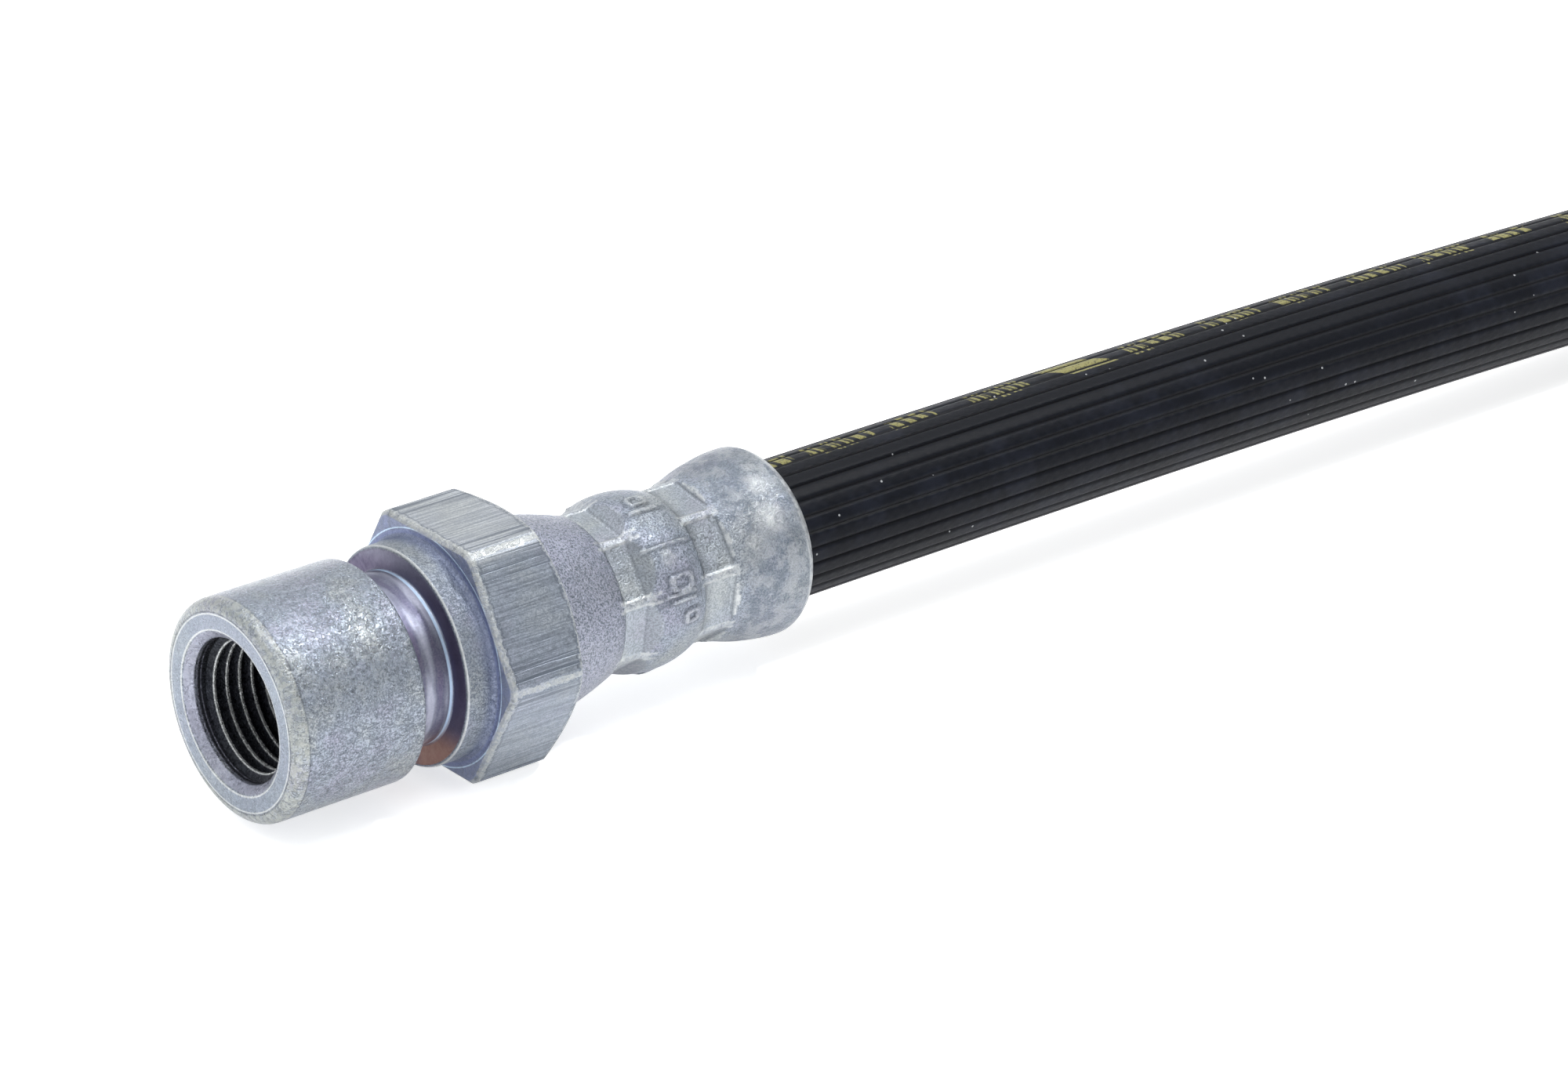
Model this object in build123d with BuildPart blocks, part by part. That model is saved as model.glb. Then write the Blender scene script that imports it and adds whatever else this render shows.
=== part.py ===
"""Vehicle brake hose assembly: a female M10 end, a male M10 end and a braided rubber hose between.

The hose axis runs along +X. The origin is the centre of the female port's mouth, which faces -X.
Both hexagons stand on a flat, so the support plane lies half a hexagon below the axis.
"""

from build123d import *

import math
import os

# ---------------------------------------------------------------- overall sizes
OVERALL_LENGTH = 350.0  # female mouth to male tip
HEX_AF = 17.0  # across flats, both ends
HEX_CORNER_CUT = 0.22  # each long corner is turned back by this
HEX_FRONT_BEVEL = 0.3  # along the six edges of the front face
HEX_REAR_ANGLE = 30.0  # chamfer cone, measured from the end face

# ---------------------------------------------------------------- female end
THREAD_MINOR_R = 4.5  # M10 x 1 internal
PORT_CHAMFER_R = 5.6
PORT_CHAMFER_END_R = 5.1
PORT_RELIEF_R = 5.1  # thread relief round the seat
PORT_RELIEF_LENGTH = 2.0
PORT_SEAT_DEPTH = 13.0  # foot of the convex seat
SEAT_FOOT_R = 3.8
SEAT_NOSE_R = 1.9
BARREL_R = 7.75  # cylinder that passes through the bracket
BARREL_LENGTH = 10.3
BARREL_EDGE = 0.9  # rounded mouth edge
BARREL_REAR_EDGE = 0.3
GROOVE_R = 6.05  # floor of the retaining clip groove
GROOVE_WIDTH = 3.3
COLLAR_CLEARANCE = 0.05  # the collar passes the same hole as the barrel, with this to spare
COLLAR_EDGE = 0.25
COLLAR_LENGTH = 2.25
COLLAR_FILLET = 0.45  # into the front face of the hexagon
HEX_LENGTH_FEMALE = 6.35  # front face to the start of the rear cone, at the middle of a flat
HEX_CORE_SINK = 1.0  # the turned core stops this far inside the hexagon

# ---------------------------------------------------------------- male end
STUD_MAJOR_R = 5.0  # M10 x 1 external
STUD_LENGTH = 11.0
STUD_TIP_CHAMFER = 0.9
STUD_UNDERCUT_R = 4.3
STUD_UNDERCUT_WIDTH = 1.6
STUD_SEAT_R = 3.0  # mouth of the internal cone that seals
WASHER_FACE_STEP = 0.9  # inside the hexagon's flats
WASHER_FACE_LENGTH = 0.8
HEX_LENGTH_MALE = 6.35

# ---------------------------------------------------------------- passage, insert and spigot
PASSAGE_R = 1.1  # drilled through both bodies and both inserts
INSERT_SHANK_R = 2.4  # pressed into the body
INSERT_SHANK_LENGTH = 7.0
INSERT_STEM_R = 1.9
INSERT_BARB = 0.16
INSERT_BARB_PITCH = 2.4
INSERT_BARBS = 4
INSERT_BARB_SHARE = 0.7  # part of the pitch taken by a barb's slope
INSERT_PLAIN_STEM = 2.0  # before the first barb
INSERT_TAIL = 2.6  # after the last barb, up to the tip's taper
INSERT_TAPER = 0.8
INSERT_TIP_R = 1.45
BORE_STEP = 0.15  # the free bore begins this far before the insert's tip
SPIGOT_R = 4.2  # rear boss that the ferrule grips
SPIGOT_LENGTH = 3.2
HOSE_GAP = 0.3  # from the end of the spigot to the cut end of the hose
SPIGOT_GROOVE_R = 3.5
SPIGOT_LIP = 0.9  # land behind the groove

# ---------------------------------------------------------------- hose
HOSE_R = 5.0
BORE_R = 1.6
LINER_R = 2.5
INNER_BRAID_R = 2.95
CUSHION_R = 3.25
OUTER_BRAID_R = 3.7
# corners of the hose's run: distance from a ferrule's mouth, sideways sway, share of the drop to the floor
HOSE_LEAVING = [(26.0, 0.0, 0.0), (62.0, 0.25, 0.286), (101.0, 0.5, 0.871), (141.0, 0.2, 1.0)]
HOSE_ARRIVING = [(87.0, -0.3, 0.986), (52.0, -0.35, 0.343), (24.0, 0.0, 0.0)]

# ---------------------------------------------------------------- ferrule, stations from the hexagon's rear
FERRULE_LENGTH = 21.1
FERRULE_FRONT_WALL = 1.4
DOME_STEP = 1.3  # the dome starts this far inside the hexagon's flats
DOME_FULLNESS = 0.095  # how far the dome stands above a straight line halfway
NECK_FRONT_WALL = 0.85  # above the free hose, at the ridges between the pockets of the front row
NECK_REAR_WALL = 0.72
CRIMP_BARREL_WALL = 1.28
BELL_WALL = 1.72
BELL_RISE = 2.6  # from the rear row to the middle of the bell's flare
BELL_FULLNESS = 0.16  # how far the flare stands above a straight line there
BELL_START_SLOPE = 0.12
BELL_LIP = 1.2  # the lip starts to round this far from the mouth
BELL_LIP_MIDDLE = 0.35
BELL_LIP_DROP = 0.25
LIP_WALL = 1.05
MOUTH_GAP = 0.2  # between the free hose and the mouth
MOUTH_BEVEL = 0.3
MOUTH_BEVEL_DEPTH = 0.5
MOUTH_RELIEF = 0.6  # clear of the last squeezed stretch
CRIMP_COUNT = 8
CRIMP_PHASE = 9.0
CRIMP_FRONT = 5.2  # first row of pockets starts here
CRIMP_FRONT_LENGTH = 1.75
CRIMP_FRONT_RAMP = 1.6  # length of the sloped rear wall for each unit of its height
CRIMP_REAR = 12.15
CRIMP_REAR_LENGTH = 2.4
CRIMP_REAR_RAMP = 0.9
CRIMP_FRONT_WALL = 0.42  # from the free hose's surface to the flat of a front pocket
CRIMP_REAR_WALL = 0.30
CRIMP_ARC = 39.0  # angle taken by one pocket
SQUEEZE_FRONT = 0.62  # how far each row bites into the hose
SQUEEZE_REAR = 0.72
SQUEEZE_CREST = 0.8  # half the unsqueezed stretch between the rows
POCKET_CLEARANCE = 1.0  # how far a pocket's cut reaches past the bell

# ---------------------------------------------------------------- worked out
HEX_R = HEX_AF / 2
HEX_CORNER_R = HEX_R / math.cos(math.radians(30)) - HEX_CORNER_CUT
COLLAR_R = BARREL_R - COLLAR_CLEARANCE
COLLAR_ROUND = min(COLLAR_FILLET, HEX_CORNER_R - COLLAR_R)  # never past the hexagon's corners
WASHER_FACE_R = HEX_R - WASHER_FACE_STEP
DOME_R = HEX_R - DOME_STEP
NECK_FRONT_R = HOSE_R + NECK_FRONT_WALL
NECK_REAR_R = HOSE_R + NECK_REAR_WALL
DOME_MID_R = (DOME_R + NECK_FRONT_R) / 2 + DOME_FULLNESS
CRIMP_BARREL_R = HOSE_R + CRIMP_BARREL_WALL
BELL_R = HOSE_R + BELL_WALL
LIP_R = HOSE_R + LIP_WALL
MOUTH_R = HOSE_R + MOUTH_GAP
CRIMP_FRONT_FLOOR = HOSE_R + CRIMP_FRONT_WALL
CRIMP_REAR_FLOOR = HOSE_R + CRIMP_REAR_WALL
PORT_THREAD_END = PORT_SEAT_DEPTH - PORT_RELIEF_LENGTH
HEX_FRONT = BARREL_LENGTH + GROOVE_WIDTH + COLLAR_LENGTH
CONE_SLOPE = math.tan(math.radians(HEX_REAR_ANGLE))
CONE_PAST_FLATS = (HEX_R - DOME_R) * CONE_SLOPE
FEMALE_SHOULDER = HEX_FRONT + HEX_LENGTH_FEMALE + CONE_PAST_FLATS
MALE_LENGTH = STUD_LENGTH + WASHER_FACE_LENGTH + HEX_LENGTH_MALE + CONE_PAST_FLATS
MALE_SHOULDER = OVERALL_LENGTH - MALE_LENGTH
HOSE_START = SPIGOT_LENGTH + HOSE_GAP

os.makedirs("parts", exist_ok=True)


def write(piece, name):
    """Label a finished piece and write it as its own STEP file."""
    piece.part.label = name
    export_step(piece.part, f"parts/{name}.step")


def at_female(station):
    """X of a station measured from the female hexagon's rear into the hose."""
    return FEMALE_SHOULDER + station


def at_male(station):
    """X of a station measured from the male hexagon's rear back into the hose."""
    return MALE_SHOULDER - station


ENDS = {"female": at_female, "male": at_male}


def quarter_arc(start, corner, end):
    """Quarter circle that rounds or fills a square corner of a profile."""
    centre = Vector(*start) + Vector(*end) - Vector(*corner)
    middle = centre + (Vector(*corner) - centre) * math.sqrt(0.5)
    ThreePointArc(start, middle, end)


# ---------------------------------------------------------------- profiles shared by both ends
def crimped_outline():
    """Outer face of the hose inside a ferrule: (station, radius), squeezed at the two crimp rows."""
    row_1 = CRIMP_FRONT + CRIMP_FRONT_LENGTH / 2
    row_2 = CRIMP_REAR + CRIMP_REAR_LENGTH / 2
    middle = (row_1 + row_2) / 2
    return [
        (HOSE_START, HOSE_R),
        (row_1 - CRIMP_FRONT_LENGTH, HOSE_R),
        (row_1 - CRIMP_FRONT_LENGTH / 2, HOSE_R - SQUEEZE_FRONT),
        (row_1 + CRIMP_FRONT_LENGTH / 2, HOSE_R - SQUEEZE_FRONT),
        (middle - SQUEEZE_CREST, HOSE_R),
        (middle + SQUEEZE_CREST, HOSE_R),
        (row_2 - CRIMP_REAR_LENGTH / 2, HOSE_R - SQUEEZE_REAR),
        (row_2 + CRIMP_REAR_LENGTH / 2, HOSE_R - SQUEEZE_REAR),
        (row_2 + CRIMP_REAR_LENGTH, HOSE_R),
        (FERRULE_LENGTH, HOSE_R),
    ]


def insert_outline():
    """Outer face of the insert's stem inside the hose: (station, radius), with its barbs."""
    points = [(HOSE_START, INSERT_STEM_R)]
    first = HOSE_START + INSERT_PLAIN_STEM
    for index in range(INSERT_BARBS):
        root = first + index * INSERT_BARB_PITCH
        points.append((root, INSERT_STEM_R + INSERT_BARB))
        points.append((root + INSERT_BARB_PITCH * INSERT_BARB_SHARE, INSERT_STEM_R))
    tail = points[-1][0] + INSERT_TAIL
    points.append((tail, INSERT_STEM_R))
    points.append((tail + INSERT_TAPER, INSERT_TIP_R))
    return points


def radius_at(outline, station):
    """Radius of an outline of straight pieces at a station, held level past either end."""
    if station <= outline[0][0]:
        return outline[0][1]
    for (x0, r0), (x1, r1) in zip(outline, outline[1:]):
        if station <= x1:
            return r0 + (r1 - r0) * (station - x0) / (x1 - x0)
    return outline[-1][1]


def bore_outline():
    """Bore of the hose inside a ferrule: it follows the insert, then closes to the free bore."""
    stem = [point for point in insert_outline() if point[1] >= BORE_R]
    tip = insert_outline()[-1]
    return stem + [(tip[0] - BORE_STEP, BORE_R), (FERRULE_LENGTH, BORE_R)]


def layer_outline(free_radius):
    """Outline of a layer's face in the crimped stretch, placed by its share of the wall's area."""
    share = (free_radius**2 - BORE_R**2) / (HOSE_R**2 - BORE_R**2)
    inner, outer = bore_outline(), crimped_outline()
    if share <= 0:
        return inner
    if share >= 1:
        return outer
    stations = sorted({x for x, _ in outer})
    outline = []
    for x in stations:
        low, high = radius_at(inner, x), radius_at(outer, x)
        outline.append((x, math.sqrt(low**2 + share * (high**2 - low**2))))
    return outline


def ring_profile(inner, outer, end):
    """Half section of a ring between two outlines, for one end of the assembly."""
    place = ENDS[end]
    return [(place(x), r) for x, r in outer] + [(place(x), r) for x, r in reversed(inner)]


# ---------------------------------------------------------------- the free run of the hose
def route():
    """Centre line of the free hose: out of one ferrule, down to rest on the floor, into the other."""
    start, stop = at_female(FERRULE_LENGTH), at_male(FERRULE_LENGTH)
    floor = HOSE_R - HEX_R
    leaving = [(start + run, sway, floor * sink) for run, sway, sink in HOSE_LEAVING]
    arriving = [(stop - run, sway, floor * sink) for run, sway, sink in HOSE_ARRIVING]
    return [(start, 0.0, 0.0)] + leaving + arriving + [(stop, 0.0, 0.0)]


def arc_radii(points):
    """Radius for each corner: 0.45 of its shorter run over the tangent of half the turn."""
    radii = []
    for before, corner, after in zip(points, points[1:], points[2:]):
        one, two = Vector(*corner) - Vector(*before), Vector(*after) - Vector(*corner)
        half_turn = math.radians(one.get_angle(two)) / 2
        radii.append(0.45 * min(one.length, two.length) / math.tan(half_turn))
    return radii


def hose_layer(inner_free, outer_free):
    """One layer of the hose: its two crimped ends and its free run, as one solid."""
    points = route()
    inner, outer = layer_outline(inner_free), layer_outline(outer_free)
    with BuildPart() as layer:
        for end in ENDS:
            with BuildSketch(Plane.XZ):
                with BuildLine():
                    Polyline(*ring_profile(inner, outer, end), close=True)
                make_face()
            revolve(axis=Axis.X)
        with BuildLine() as path:
            FilletPolyline(*points, radius=arc_radii(points))
        with BuildSketch(Plane(origin=points[0], x_dir=(0, 1, 0), z_dir=(1, 0, 0))):
            Circle(outer_free)
            Circle(inner_free, mode=Mode.SUBTRACT)
        sweep(path=path.wires()[0])
    return layer


# ---------------------------------------------------------------- metal pieces
def insert(end):
    """Barbed steel insert: a shank pressed into the body and a stem inside the hose."""
    place = ENDS[end]
    stem = insert_outline()
    outer = [(SPIGOT_LENGTH - INSERT_SHANK_LENGTH, INSERT_SHANK_R), (SPIGOT_LENGTH, INSERT_SHANK_R)]
    outer += [(SPIGOT_LENGTH, INSERT_STEM_R)] + stem
    inner = [(outer[0][0], PASSAGE_R), (outer[-1][0], PASSAGE_R)]
    with BuildPart() as piece:
        with BuildSketch(Plane.XZ):
            with BuildLine():
                Polyline(*[(place(x), r) for x, r in outer + inner[::-1]], close=True)
            make_face()
        revolve(axis=Axis.X)
    return piece


def ferrule(end):
    """Crimp ferrule: dome, two rows of eight flat pockets with a barrel between, and a bell mouth."""
    place = ENDS[end]
    side = 1 if end == "female" else -1
    row_1_end = CRIMP_FRONT + CRIMP_FRONT_LENGTH
    row_2_end = CRIMP_REAR + CRIMP_REAR_LENGTH
    cavity = crimped_outline()[:-1]
    groove_end = SPIGOT_LENGTH - SPIGOT_LIP
    groove_start = groove_end - FERRULE_FRONT_WALL
    with BuildPart() as piece:
        with BuildSketch(Plane.XZ):
            with BuildLine():
                ThreePointArc(
                    (place(0), DOME_R),
                    (place(CRIMP_FRONT / 2), DOME_MID_R),
                    (place(CRIMP_FRONT), NECK_FRONT_R),
                )
                Line((place(CRIMP_FRONT), NECK_FRONT_R), (place(row_1_end), NECK_FRONT_R))
                ThreePointArc(
                    (place(row_1_end), NECK_FRONT_R),
                    (place((row_1_end + CRIMP_REAR) / 2), CRIMP_BARREL_R),
                    (place(CRIMP_REAR), NECK_REAR_R),
                )
                Line((place(CRIMP_REAR), NECK_REAR_R), (place(row_2_end), NECK_REAR_R))
                Spline(
                    (place(row_2_end), NECK_REAR_R),
                    (place(row_2_end + BELL_RISE), (NECK_REAR_R + BELL_R) / 2 + BELL_FULLNESS),
                    (place(FERRULE_LENGTH - BELL_LIP), BELL_R),
                    tangents=((side, BELL_START_SLOPE), (side, 0.0)),
                )
                ThreePointArc(
                    (place(FERRULE_LENGTH - BELL_LIP), BELL_R),
                    (place(FERRULE_LENGTH - BELL_LIP_MIDDLE), BELL_R - BELL_LIP_DROP),
                    (place(FERRULE_LENGTH), LIP_R),
                )
                Polyline(
                    (place(FERRULE_LENGTH), LIP_R),
                    (place(FERRULE_LENGTH), MOUTH_R + MOUTH_BEVEL),
                    (place(FERRULE_LENGTH - MOUTH_BEVEL_DEPTH), MOUTH_R),
                    (place(cavity[-1][0] + MOUTH_RELIEF), MOUTH_R),
                    *[(place(x), r) for x, r in reversed(cavity)],
                    (place(HOSE_START), SPIGOT_R),
                    (place(groove_end), SPIGOT_R),
                    (place(groove_end), SPIGOT_GROOVE_R),
                    (place(groove_start), SPIGOT_GROOVE_R),
                    (place(groove_start), SPIGOT_R),
                    (place(0), SPIGOT_R),
                    (place(0), DOME_R),
                )
            make_face()
        revolve(axis=Axis.X)
        crimp_row(place(CRIMP_FRONT), side, CRIMP_FRONT_LENGTH, CRIMP_FRONT_FLOOR, CRIMP_FRONT_RAMP)
        crimp_row(place(CRIMP_REAR), side, CRIMP_REAR_LENGTH, CRIMP_REAR_FLOOR, CRIMP_REAR_RAMP)
    return piece


def crimp_row(start, side, length, floor, ramp):
    """Cut one row of pockets in the ferrule that is being built."""
    height = BELL_R + POCKET_CLEARANCE - floor
    half = floor * math.tan(math.radians(CRIMP_ARC / 2))
    for index in range(CRIMP_COUNT):
        angle = CRIMP_PHASE + index * 360 / CRIMP_COUNT
        outward = Vector(0, math.cos(math.radians(angle)), math.sin(math.radians(angle)))
        across = Vector(0, -outward.Z, outward.Y)
        corner = Vector(start, 0, 0) + outward * floor - across * half
        with BuildSketch(Plane(origin=corner, x_dir=(side, 0, 0), z_dir=across * side)) as pocket:
            with BuildLine():
                Polyline((0, 0), (length, 0), (length + ramp * height, height), (0, height), close=True)
            make_face()
        extrude(pocket.sketch, amount=2 * half * side, mode=Mode.SUBTRACT)


def hexagon(front, shoulder, side):
    """Start a body with its hexagon: bevelled front edges, turned corners and a conical rear."""
    cone_start = shoulder - side * (HEX_CORNER_R - DOME_R) * CONE_SLOPE
    with BuildSketch(Plane(origin=(front, 0, 0), x_dir=(0, 1, 0), z_dir=(side, 0, 0))) as flats:
        RegularPolygon(HEX_R, 6, major_radius=False)
    prism = extrude(flats.sketch, amount=abs(shoulder - front))
    front_face = prism.faces().sort_by(Axis.X)[0 if side > 0 else -1]
    chamfer(front_face.edges(), length=HEX_FRONT_BEVEL)
    with BuildSketch(Plane.XZ) as turned:
        with BuildLine():
            Polyline(
                (front, 0),
                (front, HEX_CORNER_R),
                (cone_start, HEX_CORNER_R),
                (shoulder, DOME_R),
                (shoulder, 0),
                close=True,
            )
        make_face()
    revolve(turned.sketch, axis=Axis.X, mode=Mode.INTERSECT)


def spigot_outline(place):
    """Points of the grooved rear boss, from the hexagon towards the hose."""
    groove_end = SPIGOT_LENGTH - SPIGOT_LIP
    groove_start = groove_end - FERRULE_FRONT_WALL
    return [
        (place(0), SPIGOT_R),
        (place(groove_start), SPIGOT_R),
        (place(groove_start), SPIGOT_GROOVE_R),
        (place(groove_end), SPIGOT_GROOVE_R),
        (place(groove_end), SPIGOT_R),
        (place(SPIGOT_LENGTH), SPIGOT_R),
    ]


def female_body():
    """Port body: rounded barrel, clip groove, collar, hexagon, spigot and the threaded port."""
    socket = at_female(SPIGOT_LENGTH - INSERT_SHANK_LENGTH)
    collar_start = BARREL_LENGTH + GROOVE_WIDTH
    with BuildPart() as piece:
        hexagon(HEX_FRONT, FEMALE_SHOULDER, 1)
        with BuildSketch(Plane.XZ):
            with BuildLine():
                Line((0, 0), (0, BARREL_R - BARREL_EDGE))
                quarter_arc((0, BARREL_R - BARREL_EDGE), (0, BARREL_R), (BARREL_EDGE, BARREL_R))
                Polyline(
                    (BARREL_EDGE, BARREL_R),
                    (BARREL_LENGTH - BARREL_REAR_EDGE, BARREL_R),
                    (BARREL_LENGTH, BARREL_R - BARREL_REAR_EDGE),
                    (BARREL_LENGTH, GROOVE_R),
                    (collar_start, GROOVE_R),
                    (collar_start, COLLAR_R - COLLAR_EDGE),
                    (collar_start + COLLAR_EDGE, COLLAR_R),
                    (HEX_FRONT - COLLAR_ROUND, COLLAR_R),
                )
                quarter_arc(
                    (HEX_FRONT - COLLAR_ROUND, COLLAR_R),
                    (HEX_FRONT, COLLAR_R),
                    (HEX_FRONT, COLLAR_R + COLLAR_ROUND),
                )
                Polyline(
                    (HEX_FRONT, COLLAR_R + COLLAR_ROUND),
                    (FEMALE_SHOULDER - HEX_CORE_SINK, COLLAR_R - COLLAR_ROUND),
                    (FEMALE_SHOULDER - HEX_CORE_SINK, SPIGOT_R),
                    *spigot_outline(at_female),
                    (at_female(SPIGOT_LENGTH), 0),
                    (0, 0),
                )
            make_face()
        revolve(axis=Axis.X)
        with BuildSketch(Plane.XZ):
            with BuildLine():
                Polyline(
                    (0, 0),
                    (0, PORT_CHAMFER_R),
                    (PORT_CHAMFER_R - PORT_CHAMFER_END_R, PORT_CHAMFER_END_R),
                    (PORT_CHAMFER_R - THREAD_MINOR_R, THREAD_MINOR_R),
                    (PORT_THREAD_END, THREAD_MINOR_R),
                    (PORT_THREAD_END, PORT_RELIEF_R),
                    (PORT_SEAT_DEPTH, PORT_RELIEF_R),
                    (PORT_SEAT_DEPTH, SEAT_FOOT_R),
                    (PORT_SEAT_DEPTH - (SEAT_FOOT_R - SEAT_NOSE_R), SEAT_NOSE_R),
                    (PORT_SEAT_DEPTH - (SEAT_FOOT_R - SEAT_NOSE_R), PASSAGE_R),
                    (socket, PASSAGE_R),
                    (socket, INSERT_SHANK_R),
                    (at_female(SPIGOT_LENGTH), INSERT_SHANK_R),
                    (at_female(SPIGOT_LENGTH), 0),
                    close=True,
                )
            make_face()
        revolve(axis=Axis.X, mode=Mode.SUBTRACT)
    return piece


def male_body():
    """Stud body: M10 stud with a sealing cone in its tip, washer face, hexagon and spigot."""
    tip = OVERALL_LENGTH
    stud_root = tip - STUD_LENGTH
    washer_end = stud_root - WASHER_FACE_LENGTH
    socket = at_male(SPIGOT_LENGTH - INSERT_SHANK_LENGTH)
    with BuildPart() as piece:
        hexagon(washer_end, MALE_SHOULDER, -1)
        with BuildSketch(Plane.XZ):
            with BuildLine():
                Polyline(
                    (tip, 0),
                    (tip, STUD_MAJOR_R - STUD_TIP_CHAMFER),
                    (tip - STUD_TIP_CHAMFER, STUD_MAJOR_R),
                    (stud_root + STUD_UNDERCUT_WIDTH + STUD_MAJOR_R - STUD_UNDERCUT_R, STUD_MAJOR_R),
                    (stud_root + STUD_UNDERCUT_WIDTH, STUD_UNDERCUT_R),
                    (stud_root, STUD_UNDERCUT_R),
                    (stud_root, WASHER_FACE_R),
                    (washer_end, WASHER_FACE_R),
                    (MALE_SHOULDER + HEX_CORE_SINK, WASHER_FACE_R - COLLAR_ROUND),
                    (MALE_SHOULDER + HEX_CORE_SINK, SPIGOT_R),
                    *spigot_outline(at_male),
                    (at_male(SPIGOT_LENGTH), 0),
                    close=True,
                )
            make_face()
        revolve(axis=Axis.X)
        with BuildSketch(Plane.XZ):
            with BuildLine():
                Polyline(
                    (tip, 0),
                    (tip, STUD_SEAT_R),
                    (tip - (STUD_SEAT_R - PASSAGE_R), PASSAGE_R),
                    (socket, PASSAGE_R),
                    (socket, INSERT_SHANK_R),
                    (at_male(SPIGOT_LENGTH), INSERT_SHANK_R),
                    (at_male(SPIGOT_LENGTH), 0),
                    close=True,
                )
            make_face()
        revolve(axis=Axis.X, mode=Mode.SUBTRACT)
    return piece


# ---------------------------------------------------------------- the assembly
def main():
    """Build every piece and write it."""
    points = route()
    print("arc radii, mm:", [round(r, 1) for r in arc_radii(points)])
    write(female_body(), "female_fitting_body")
    write(male_body(), "male_fitting_body")
    for end in ENDS:
        write(insert(end), f"{end}_barbed_insert")
        write(ferrule(end), f"{end}_crimp_ferrule")
    layers = {
        "hose_inner_tube": (BORE_R, LINER_R),
        "hose_inner_braid": (LINER_R, INNER_BRAID_R),
        "hose_cushion_layer": (INNER_BRAID_R, CUSHION_R),
        "hose_outer_braid": (CUSHION_R, OUTER_BRAID_R),
        "hose_ribbed_cover": (OUTER_BRAID_R, HOSE_R),
    }
    for name, (inner, outer) in layers.items():
        layer = hose_layer(inner, outer)
        print(name, "volume, mm3:", round(layer.part.volume, 1))
        write(layer, name)


main()
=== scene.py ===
"""Visual model of a vehicle brake hose assembly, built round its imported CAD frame.

Lengths in the classes are millimetres and turn into metres where Blender is called.
The hose runs along +X from the female port's mouth, with +Z up and both hexagons on a flat.
"""

import logging
import math
from collections.abc import Callable, Sequence
from dataclasses import dataclass, field
from enum import Enum

import bmesh
import bpy
from mathutils import Matrix, Vector

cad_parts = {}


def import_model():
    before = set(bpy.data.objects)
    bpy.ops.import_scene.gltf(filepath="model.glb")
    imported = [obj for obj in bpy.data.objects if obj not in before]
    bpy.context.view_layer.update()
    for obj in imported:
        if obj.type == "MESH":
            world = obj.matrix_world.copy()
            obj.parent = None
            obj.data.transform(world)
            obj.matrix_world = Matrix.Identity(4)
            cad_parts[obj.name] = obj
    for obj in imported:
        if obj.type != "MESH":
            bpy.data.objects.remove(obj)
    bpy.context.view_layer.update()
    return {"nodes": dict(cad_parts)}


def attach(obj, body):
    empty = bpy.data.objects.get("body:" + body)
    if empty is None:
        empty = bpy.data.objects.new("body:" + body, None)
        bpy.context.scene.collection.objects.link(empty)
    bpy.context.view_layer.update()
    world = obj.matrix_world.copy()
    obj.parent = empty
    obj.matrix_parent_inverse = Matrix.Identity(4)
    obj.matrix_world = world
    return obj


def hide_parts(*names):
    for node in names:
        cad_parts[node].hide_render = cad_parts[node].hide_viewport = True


LOG = logging.getLogger("brake_hose")
MM = 0.001
ROOT = "root"
Point = tuple[float, float]
Triple = tuple[float, float, float]
Colour = Triple
Socket = bpy.types.NodeSocket
SLOPE_30 = math.tan(math.radians(30))


# ---------------------------------------------------------------- shared sizes
@dataclass(frozen=True)
class HexagonSizes:
    """Sizes of the spanner hexagon that both ends share."""

    flat: float = 8.5
    corner: float = 9.595
    front_bevel: float = 0.3
    rear_slope: float = SLOPE_30
    rear_radius: float = 7.2

    def outline(self, turn: float, inset: float = 0.0) -> float:
        """Radius of the outline.

        Args:
            turn: angle from the middle of a flat, in degrees, up to 30.
            inset: how far the whole outline is drawn in.

        Returns:
            The distance from the axis in millimetres.
        """
        return min((self.flat - inset) / math.cos(math.radians(turn)), self.corner - inset)

    def rear(self, shoulder: float, side: int, turn: float) -> float:
        """Station where a flat meets the rear cone.

        Args:
            shoulder: station of the hexagon's rear face.
            side: 1 where the hose lies towards +X, or -1.
            turn: angle from the middle of a flat, in degrees.

        Returns:
            The station along X in millimetres.
        """
        return shoulder - side * (self.outline(turn) - self.rear_radius) * self.rear_slope


@dataclass(frozen=True)
class Stations:
    """Places along the hose axis that several pieces share.

    The ferrule's length and the squeezed hose's (station, radius) pairs count from a hexagon's rear.
    """

    female_front: float = 15.85
    female_shoulder: float = 22.951
    male_front: float = 338.2
    male_shoulder: float = 331.099
    male_tip: float = 350.0
    ferrule: float = 21.1
    floor: float = -8.5
    squeezed: tuple[Point, ...] = (
        (3.5, 5.0),
        (4.325, 5.0),
        (5.2, 4.38),
        (6.95, 4.38),
        (8.913, 5.0),
        (10.513, 5.0),
        (12.15, 4.28),
        (14.55, 4.28),
        (16.95, 5.0),
    )


HEXAGON = HexagonSizes()
PLACES = Stations()


class End(Enum):
    """Which end of the hose a piece belongs to, and the way its stations count."""

    FEMALE = 1
    MALE = -1

    @property
    def shoulder(self) -> float:
        """Station of the rear of this end's hexagon."""
        return PLACES.female_shoulder if self is End.FEMALE else PLACES.male_shoulder

    @property
    def label(self) -> str:
        """Word that the names of this end's pieces start with."""
        return self.name.lower()

    def at(self, station: float) -> float:
        """X of a station measured from the hexagon's rear towards the hose."""
        return self.shoulder + self.value * station

    def station(self, place: Vector) -> float:
        """Station in millimetres of a place in metres, the other way round from at."""
        return (place.x / MM - self.shoulder) * self.value


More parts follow.
